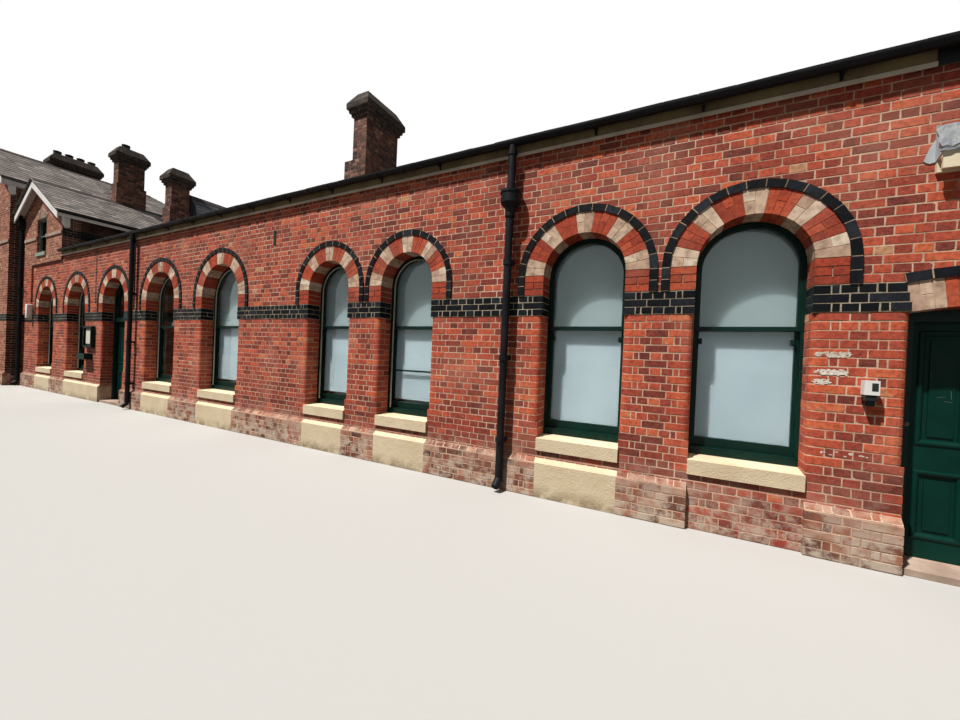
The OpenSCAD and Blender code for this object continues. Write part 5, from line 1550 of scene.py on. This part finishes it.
bmesh.ops.solidify(sheet, geom=sheet.faces[:], thickness=0.004)
# A tongue of lead is dressed down the wall beside each end of the hood, and a cheek round its end
tongue = (0.39, 3.33), (0.425, 3.26), (0.438, 3.22), (0.455, 3.165), (0.44, 3.15), (0.42, 3.14), (0.39, 3.15)
cheek = (-0.111, 3.20), (-0.111, 3.18), (-0.07, 3.165), (-0.03, 3.15), (-0.006, 3.14), (-0.006, 3.40)
for side in (-1, 1):
    add_solid(sheet, [[(END_DOOR + side * s, y, z) for s, z in tongue] for y in (FACE - 0.009, FACE - 0.005)])
    add_solid(sheet, [[(END_DOOR + side * s, FACE + y, z) for y, z in cheek] for s in (0.391, 0.395)])
piece(sheet, "hood_lead", LEAD)

# %% [markdown]
# ## The house gutter
# A short half-round gutter hangs under the bay's right-hand slope. A cut cylinder would do. Two
# arcs of points joined along their length give it a thickness too, and a thin box closes its end.

# %% Gutter of the house eaves
gutter = bmesh.new()
GUTTER_R = 0.055
EAVE_X, EAVE_Z = HOUSE_RIGHT + 0.37 + GUTTER_R, HOUSE_RIDGE_Z - HOUSE_SLOPE * HOUSE_RUN - 0.045
arc = [math.radians(180 + 180 * k / 8) for k in range(9)]
ends = (FACE - 0.24, FACE + 1.95)
for radius in (GUTTER_R, GUTTER_R - 0.006):
    curve = [(EAVE_X + radius * math.cos(a), EAVE_Z + radius * math.sin(a)) for a in arc]
    rings = [[gutter.verts.new((x, y, z)) for x, z in curve] for y in ends]
    for k in range(8):
        gutter.faces.new([rings[0][k], rings[0][k + 1], rings[1][k + 1], rings[1][k]])
add_box(gutter, EAVE_X - GUTTER_R, EAVE_X + GUTTER_R, ends[0] - 0.003, ends[0], EAVE_Z - 0.03, EAVE_Z)
piece(gutter, "house_gutter", BLACK_IRON, smooth=True)

# %% [markdown]
# ## The long gutters
# The photograph shows a slimmer gutter, higher under the slates, than the construction's own, so
# these stand in for it. A half-round gutter is one profile drawn out along the eaves: a face made
# from two arcs, then extruded. The same helper makes the sockets where lengths join and the
# bracket irons. The edge at the wall is cut low to pass under the slates.

# %% Half-round troughs in place of the plain gutters and brackets


def add_trough(bm, start, along, length, radius, wall=0.005):
    """A half-round gutter: the profile between two arcs, extruded along the eaves."""
    along = Vector(along)
    across = along.cross(Vector((0, 0, 1)))
    turns = [math.radians(200 + 16 * k) for k in range(11)]
    outline = [(radius * math.cos(a), radius * math.sin(a)) for a in turns]
    outline += [((radius - wall) * math.cos(a), (radius - wall) * math.sin(a)) for a in reversed(turns)]
    end = bm.faces.new([bm.verts.new(Vector(start) + across * s + Vector((0, 0, z))) for s, z in outline])
    drawn = bmesh.ops.extrude_face_region(bm, geom=[end], use_keep_orig=True)
    moved = [v for v in drawn["geom"] if isinstance(v, bmesh.types.BMVert)]
    bmesh.ops.translate(bm, vec=along * length, verts=moved)


TROUGH, TROUGH_Z = 0.05, 4.01
PIPE_OUT, PIPE_TOP, PIPE_R = 0.1, 3.915, 0.04
GUTTER_LEFT, GUTTER_RIGHT = HOUSE_RIGHT + 0.03, RIGHT + 0.05
SOCKETS, SOCKET_STEP, IRON_STEP = 10, 1.83, 0.98
SOCKET_R, SOCKET_WALL = TROUGH + 0.006, 0.0055
IRON_HALF = 0.012
runs, irons = bmesh.new(), bmesh.new()
for side, face_y, pipes in ((-1, FACE, (8.01, -1.3)), (1, BACK, (8.01,))):
    y = face_y + side * PIPE_OUT
    along = (-side, 0, 0)
    start_x = GUTTER_LEFT if side < 0 else GUTTER_RIGHT
    add_trough(runs, (start_x, y, TROUGH_Z), along, GUTTER_RIGHT - GUTTER_LEFT, TROUGH)
    for k in range(SOCKETS):
        x = RIGHT - 1.1 - SOCKET_STEP * k
        add_trough(runs, (x + side * 0.03, y, TROUGH_Z), along, 0.06, SOCKET_R, SOCKET_WALL)
    strap = sorted((face_y + side * 0.0255, face_y + side * 0.0315))
    arm = sorted((face_y + side * 0.0255, y))
    for k in range(int((RIGHT - HOUSE_RIGHT - 0.2) / IRON_STEP) + 1):
        x = RIGHT - 0.15 - IRON_STEP * k
        add_trough(irons, (x + side * IRON_HALF, y, TROUGH_Z), along, 2 * IRON_HALF, SOCKET_R, SOCKET_WALL)
        add_box(irons, x - IRON_HALF, x + IRON_HALF, *strap, TROUGH_Z - 0.095, TROUGH_Z - 0.02)
        add_box(irons, x - IRON_HALF, x + IRON_HALF, *arm, TROUGH_Z - 0.063, TROUGH_Z - 0.056)
    for x in pipes:
        add_tube(runs, [(x, y, TROUGH_Z - TROUGH + 0.004), (x, y, PIPE_TOP)], PIPE_R, 16)
        add_tube(runs, [(x, y, PIPE_TOP - 0.06), (x, y, PIPE_TOP - 0.01)], PIPE_R + 0.014, 16)
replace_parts(piece(runs, "long_gutters", BLACK_IRON), "gutters")
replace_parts(piece(irons, "long_gutter_irons", BLACK_IRON), "gutter_brackets")

# %% [markdown]
# ## The bead under the fascia
# A pale bead runs under the long fascia, and the last stretch of the board is dark. Both are
# single straight bars, so boxes with softened edges do. A moulded profile would not show.

# %% The bead under the long fascia
BOARD_END = 11.44
BEAD_PAINT = gloss_paint("pale bead paint", (214, 206, 192), (180, 170, 152), 0.55, (3, 60, 60))
boxes("fascia_bead", BEAD_PAINT, [(HOUSE_RIGHT, BOARD_END, FACE - 0.046, FACE - 0.029, 3.858, 3.895, 0.005)])
boxes("dark_fascia_end", BLACK_IRON, [(BOARD_END, RIGHT, FACE - 0.036, FACE - 0.029, 3.86, 3.985, 0.003)])

# %% [markdown]
# ## Wall light and notice case
# The construction has the bodies of both. What makes them readable from a distance is their dark
# and pale parts: the light's lens and joint, and the sheet and raised rim of the case. The sheet
# is left plain. Boxes with softened edges are enough for parts as small as these.

# %% The wall light on its bracket
LAMP_X = END_DOOR - 0.71
DARK_LENS = gloss_paint("dark lens", (38, 41, 43), (60, 63, 65), 0.2, (10, 10, 10))
boxes(
    "wall_light_fittings",
    DARK_LENS,
    [
        (LAMP_X - 0.002, LAMP_X + 0.036, FACE - 0.113, FACE - 0.109, 1.397, 1.458, 0.002),
        (LAMP_X - 0.033, LAMP_X + 0.037, FACE - 0.10, FACE - 0.008, 1.315, 1.364, 0.006),
        (LAMP_X - 0.02, LAMP_X + 0.04, FACE - 0.055, FACE - 0.008, 1.275, 1.318, 0.006),
    ],
)

# %% The notice case: a pale sheet behind a beaded frame
PAPER = gloss_paint("old pale paper", (226, 224, 212), (204, 198, 180), 0.7, (8, 8, 8))
CASE_X = PLATFORM_DOOR - 1.23
boxes("notice_sheet", PAPER, [(CASE_X - 0.15, CASE_X + 0.14, FACE - 0.052, FACE - 0.046, 1.44, 1.82)])
RIM_HALF, RIM_W, RIM_LOW, RIM_HIGH = 0.245, 0.04, 1.4, 1.835
rim = [(-RIM_HALF, RIM_HALF, z, z + RIM_W) for z in (RIM_LOW - RIM_W, RIM_HIGH)]
rim += [(x, x + RIM_W, RIM_LOW, RIM_HIGH) for x in (-RIM_HALF, RIM_HALF - RIM_W)]
boxes(
    "notice_case_beads",
    BLACK_IRON,
    [(CASE_X + x0, CASE_X + x1, FACE - 0.086, FACE - 0.068, z0, z1, 0.004) for x0, x1, z0, z1 in rim],
)

# %% [markdown]
# ## Pipes and fittings
# A wall in long use collects a thin pipe, a cable, a lamp, a bracket and an air brick. Each could
# be a detailed model, but they are seen small, so tubes and boxes at measured places are enough.

# %% Pipes, cable and fittings on the long wall
service = bmesh.new()
# Each line is a list of x, distance out from the wall and z
PIPE_LINE = [(-1.33, 0.03, 3.85), (-1.31, 0.03, 2.26)]
CABLE_DOWN = [(-3.46, 0.016, 3.84), (-3.45, 0.016, 2.9), (-3.42, 0.016, 2.45)]
CABLE_START = [(-3.62, 0.03, 3.82), (-3.58, 0.05, 3.70), (-3.47, 0.05, 3.66), (-3.46, 0.02, 3.78)]
for line, radius, sides in ((PIPE_LINE, 0.013, 10), (CABLE_DOWN, 0.006, 6), (CABLE_START, 0.006, 6)):
    add_tube(service, [(x, FACE - out_y, z) for x, out_y, z in line], radius, sides)
piece(service, "service_pipe_and_cable", BLACK_IRON, smooth=True)
lamp = (-8.16, -8.02, FACE - 0.14, FACE - 0.01, 2.12, 2.56, 0.02)
boxes("small_white_lamp", WHITE_TIMBER, [lamp], smooth=True)
arm = bmesh.new()
add_box(arm, -8.96, -8.80, FACE - 0.16, FACE - 0.04, 3.02, 3.10, 0.006)
add_tube(arm, [(-8.84, FACE - 0.06, 3.06), (-8.6, FACE - 0.1, 3.06), (-8.6, FACE - 0.1, 2.86)], 0.014)
piece(arm, "corner_bracket", BLACK_IRON)
boxes("small_green_plate", GREEN_GLOSS, [(-1.80, -1.52, FACE - 0.03, FACE - 0.008, 2.06, 2.19, 0.003)])
vent = [(6.32, 6.545, FACE - 0.012, FACE - 0.002, 0.10, 0.168)]
vent += [(6.335 + i * 0.026, 6.349 + i * 0.026, FACE - 0.016, FACE - 0.011, 0.11, 0.158) for i in range(8)]
boxes("air_brick", BLACK_IRON, vent)
boxes("wall_slot", DARK_LENS, [(3.60, 3.66, FACE - 0.010, FACE - 0.004, 3.28, 3.52)])

# %% [markdown]
# ## Sash horns
# An upper sash ends in two small horns, its stiles carried on below the meeting rail, and one
# window has an extra bar low down. They could be cut into the sashes of the construction, but
# they are trim that no other piece touches, so they are added here.

# %% Horns under the upper sashes, and the extra bar of one window
horns = bmesh.new()
MEETING, SASH_FRONT = 1.829, FACE + REVEAL + 0.014
for x, r in WINDOWS:
    for side in (-1, 1):
        edge = x + side * (r - 0.055)
        a, b = sorted((edge, edge - side * 0.03))
        add_box(horns, a, b, SASH_FRONT + 0.002, SASH_FRONT + 0.038, MEETING - 0.075, MEETING - 0.018, 0.008)
piece(horns, "sash_horns", GREEN_GLOSS)
bar_x = [THIRD_WINDOW + side * (SMALL - 0.07) for side in (-1, 1)]
boxes("extra_sash_bar", GREEN_GLOSS, [(*bar_x, SASH_FRONT + 0.03, SASH_FRONT + 0.052, 1.275, 1.3, 0.004)])

# %% [markdown]
# ## The doors
# Each leaf has four sunk panels with a moulding mitred round them. The construction has the
# panels. The moulding is one profile carried round four corners on both faces, and it rides on the
# leaf, so that it opens with it. A bell push and a few scratches finish the end door.

# %% Mouldings round the door panels
LEAF_FRONT, LEAF_BACK, LEAF_Z = FACE + 0.293, FACE + 0.338, 0.056
STILE, RAIL_LOW, LOCK_RAIL, RAIL_TOP = 0.1, 0.18, (0.68, 0.94), 0.11
PROFILE = [(-0.028, 0), (-0.028, 0.005), (-0.021, 0.010), (-0.008, 0.0115)]
PROFILE += [(0.003, 0.007), (0.011, 0.001), (0.018, -0.011)]


def door_mouldings(name, body, x0, wide, tall):
    """A mitred moulding round each of the four panels, on both faces of a leaf."""
    bm = bmesh.new()
    panel = (wide - 3 * STILE) / 2
    heights = (RAIL_LOW, LOCK_RAIL[0]), (LOCK_RAIL[1], tall - RAIL_TOP)
    for face_y, out in ((LEAF_FRONT, -1), (LEAF_BACK, 1)):
        for left in (x0 + STILE, x0 + 2 * STILE + panel):
            for low, high in heights:
                loops = []
                for d, rise in PROFILE:
                    x1, x2, z1, z2 = left + d, left + panel - d, LEAF_Z + low + d, LEAF_Z + high - d
                    ring = (x1, z1), (x2, z1), (x2, z2), (x1, z2)
                    loops.append([bm.verts.new((x, face_y + out * rise, z)) for x, z in ring])
                for one, two in zip(loops, loops[1:]):
                    for i in range(4):
                        k = (i + 1) % 4
                        bm.faces.new([one[i], one[k], two[k], two[i]])
    piece(bm, name, DOOR_GREEN, body)


door_mouldings("end_door_mouldings", "end_door", END_DOOR - 0.389, 0.778, 1.923)
door_mouldings("platform_door_mouldings", "platform_door", PLATFORM_DOOR - 0.514, 1.028, 1.983)

# %% Bell push and scratches
push = bmesh.new()
PUSH_X, PUSH_Y, PUSH_Z = END_DOOR - 0.395, FACE + REVEAL, 1.136
for back, front_y, radius, sides in ((0, 0.012, 0.018, 14), (0.012, 0.03, 0.011, 12)):
    add_tube(push, [(PUSH_X, PUSH_Y - back, PUSH_Z), (PUSH_X, PUSH_Y - front_y, PUSH_Z)], radius, sides)
piece(push, "bell_push", GREY_METAL)
# Each scratch starts at x and z and runs so far across and up
SCRATCHES = [
    (11.618, 1.555, 0.008, -0.03),
    (11.655, 1.36, 0.05, 0.012),
    (11.70, 1.335, 0.045, -0.006),
    (11.735, 1.42, 0.006, -0.07),
]
marks = bmesh.new()
for x, z, run, rise in SCRATCHES:
    along = Vector((run, 0, rise))
    across = along.cross(Vector((0, 1, 0))).normalized() * 0.0012
    start = Vector((x, LEAF_FRONT + 0.0022, z))
    spots = start, start + along - across, start + along, start + across
    marks.faces.new([marks.verts.new(p) for p in spots])
piece(marks, "door_scratches", GREY_METAL, "end_door")

# %% [markdown]
# ## Beads and painted sills
# A pale bead is left on some box frames, inside the arch, and the two upper windows have a faded
# moulding and a chalky sill. Inside the arch the bead is a strip between two radii. The upper
# windows are square, so boxes serve.

# %% Pale beads inside the box frames, and mouldings round the upper windows
OLD_PALE = gloss_paint("worn pale green paint", (104, 118, 112), (80, 92, 90), 0.5, (20, 20, 20))
BEAD_CREAM = gloss_paint("cream bead paint", (206, 206, 192), (176, 178, 164), 0.5, (20, 20, 20))
lines = bmesh.new()
for x, r in WINDOWS:
    if r == LARGE or x in (FOURTH_WINDOW, THIRD_WINDOW):
        edge, frame_y = r - 0.058, FACE + REVEAL
        add_arched_strip(lines, x, edge + 0.008, edge, frame_y - 0.005, frame_y + 0.013, SILL_TOP + 0.075)
piece(lines, "frame_beads", BEAD_CREAM)
SILL_GREEN = gloss_paint("chalky sill paint", (140, 160, 148), (160, 170, 158), 0.7, (12, 12, 12))
UPPER_GLASS, MOULDING = 4.09, 0.045
trims, sills = [], []
for x, wall_y in ((HOUSE_WINDOW, FACE - LEDGE_OUT), (WING_WINDOW, WING_FACE)):
    y0, y1, x0, x1 = wall_y + 0.05, wall_y + 0.105, x - UPPER_HALF, x + UPPER_HALF
    low, top = UPPER_GLASS, UPPER_TOP
    for a, b in ((x0, x0 + MOULDING), (x1 - MOULDING, x1)):
        trims.append((a, b, y0, y1, low, top, 0.004))
    for front_y, z0, z1 in ((y0, top - 0.05, top), (y0, low, low + 0.05), (y0 + 0.01, 4.585, 4.62)):
        trims.append((x0 + MOULDING, x1 - MOULDING, front_y, y1, z0, z1, 0.004))
    sills.append((x0 - 0.004, x1 + 0.004, wall_y - 0.036, wall_y - 0.001, 3.985, 4.094, 0.006))
boxes("upper_window_mouldings", OLD_PALE, trims)
boxes("upper_sill_paint", SILL_GREEN, sills)

# %% [markdown]
# ## Pointed heads
# Each upper window has a head of five stones, cut together to a low point. A single stone with
# painted joints would catch no light at its edges, so each is an outline on the wall that is lifted
# like a brick, with a stone's scale of colours.

# %% Stones of the pointed heads
HEAD_STONE = masonry(
    "weathered head stone",
    [(0.0, (122, 100, 88)), (0.5, (146, 124, 110)), (1.0, (172, 152, 136))],
    grain=(14, 90),
)
heads = Brickwork()
half, low, foot, peak, g = UPPER_HALF + 0.06, UPPER_TOP, 5.185, 5.44, 0.003
cuts = [-half, -0.21, -0.07, 0.07, 0.21, half]
for plane, x in ((upper_front, HOUSE_WINDOW), (wing, WING_WINDOW)):
    for a, b in zip(cuts, cuts[1:]):
        roof = [peak - (peak - foot) * abs(s) / half for s in (a + g, b - g)]
        outline = [(a + g, low), (b - g, low), (b - g, roof[1]), (a + g, roof[0])]
        if a < 0 < b:
            outline.insert(3, (0, peak))
        heads.face([plane @ Vector((x + s, z, 0.0155)) for s, z in outline])
heads.lift("upper_head_stones", HEAD_STONE, 0.003, 0.004)

# %% [markdown]
# ## Under the edges of the roofs
# White boards close the underside of the gables' laps and run along the wing's eaves, and a hopper
# gathers the water of the corner. Each board under a slope is a solid between two slanting
# outlines, because a box would need turning.

# %% Soffits under the gable laps, the wing's eaves board and the corner pipe's hopper
SOFFIT = gloss_paint("old white soffit paint", (224, 218, 220), (196, 186, 188), 0.6, (3, 60, 60))
soffit = bmesh.new()


def lap_soffit(ridge, ridge_z, slope, reach, wall_y, front_y):
    """A thin board under each side of a gable's overhang."""
    for side, run in ((-1, reach[0]), (1, reach[1])):
        spots = [(0.0, ridge_z - ROOF_T - 0.004), (run, ridge_z - ROOF_T - 0.004 - slope * run)]
        spots += [(s, z - 0.012) for s, z in spots[::-1]]
        add_solid(soffit, [[(ridge + side * s, y, z) for s, z in spots] for y in (front_y, wall_y)])


lap_soffit(HOUSE_RIDGE, HOUSE_RIDGE_Z, HOUSE_SLOPE, (1.54, 2.04), FACE - LEDGE_OUT - 0.01, FACE - 0.22)
lap_soffit(WING_WINDOW, WING_RIDGE_Z, WING_SLOPE, (2.2, 2.2), WING_FACE - 0.01, WING_FACE - 0.22)
piece(soffit, "gable_soffits", SOFFIT)
WING_EDGE, BOARD_FRONT, BOARD_BACK = WING_WINDOW + WING_HALF, WING_FACE - 0.21, 3.2
board_x = WING_EDGE - 0.035
upright_board = (board_x, WING_EDGE - 0.01, BOARD_FRONT, BOARD_BACK, hip_foot - 0.22, hip_foot - 0.084, 0.004)
flat_board = (WING_RIGHT + 0.01, board_x, BOARD_FRONT, BOARD_BACK, hip_foot - 0.205, hip_foot - 0.19)
boxes("wing_eaves_board", SOFFIT, [upright_board, flat_board])
hopper = bmesh.new()
PIPE_X, PIPE_Y = WING_RIGHT + 0.13, FACE - 0.105
SQUARE = (-1, -1), (1, -1), (1, 1), (-1, 1)
rims = (4.93, 0.052), (5.02, 0.095)
add_solid(hopper, [[(PIPE_X + a * half, PIPE_Y + b * half, z) for a, b in SQUARE] for z, half in rims])
add_box(hopper, PIPE_X - 0.1, PIPE_X + 0.1, PIPE_Y - 0.09, PIPE_Y + 0.06, 5.02, 5.17, 0.006)
add_box(hopper, PIPE_X - 0.108, PIPE_X + 0.108, PIPE_Y - 0.098, PIPE_Y + 0.06, 5.17, 5.195, 0.004)
spout = (PIPE_X, PIPE_Y, 5.15), (PIPE_X, PIPE_Y - 0.02, 5.34), (PIPE_X + 0.02, PIPE_Y - 0.03, 5.4)
add_tube(hopper, spout, 0.04, 12)
piece(hopper, "corner_hopper", BLACK_IRON)

# %% [markdown]
# ## Old whitewash
# Whitewash clings to a few courses of the end pier in flakes. A mask in the brick's material could
# show it, but would cross the joints evenly. Small loose faces just in front of the bricks stay
# where they are put, and each has its own ragged rim.

# %% Flaking whitewash on the end pier
FLAKES = bedding("flaking whitewash", (236, 230, 220), (204, 190, 174))


def pier_face(x):
    """Depth of the end pier's face, which rounds off into the first window's jamb."""
    into = max(FIRST_WINDOW + SMALL + BULLNOSE - x, 0)
    return FACE + BULLNOSE - math.sqrt(BULLNOSE**2 - into**2)


# Each patch has its height, its two ends and a number of flakes
PATCHES = [(1.675, 10.82, 11.04, 60), (1.53, 10.82, 11.03, 60)]
PATCHES += [(1.45, 10.82, 10.92, 34), (0.86, 10.86, 11.2, 10)]
wash = bmesh.new()
for z, x0, x1, count in PATCHES:
    for flake in range(count):
        x, lift = CHANCE.uniform(x0, x1), CHANCE.uniform(0.0042, 0.0056)
        height = z + CHANCE.uniform(-0.02, 0.02)
        wide, tall = CHANCE.uniform(0.006, 0.02), CHANCE.uniform(0.003, 0.011)
        turn = [math.tau * k / 7 + CHANCE.uniform(-0.3, 0.3) for k in range(7)]
        rim = [(x + wide * math.cos(a), height + tall * math.sin(a)) for a in turn]
        wash.faces.new([wash.verts.new((s, pier_face(s) - lift, t)) for s, t in rim])
piece(wash, "flaking_whitewash", FLAKES)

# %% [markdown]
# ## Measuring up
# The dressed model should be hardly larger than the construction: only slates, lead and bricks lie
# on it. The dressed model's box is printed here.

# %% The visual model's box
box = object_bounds()
print("visual box", [round(v, 3) for v in (*box[0], *box[1])])
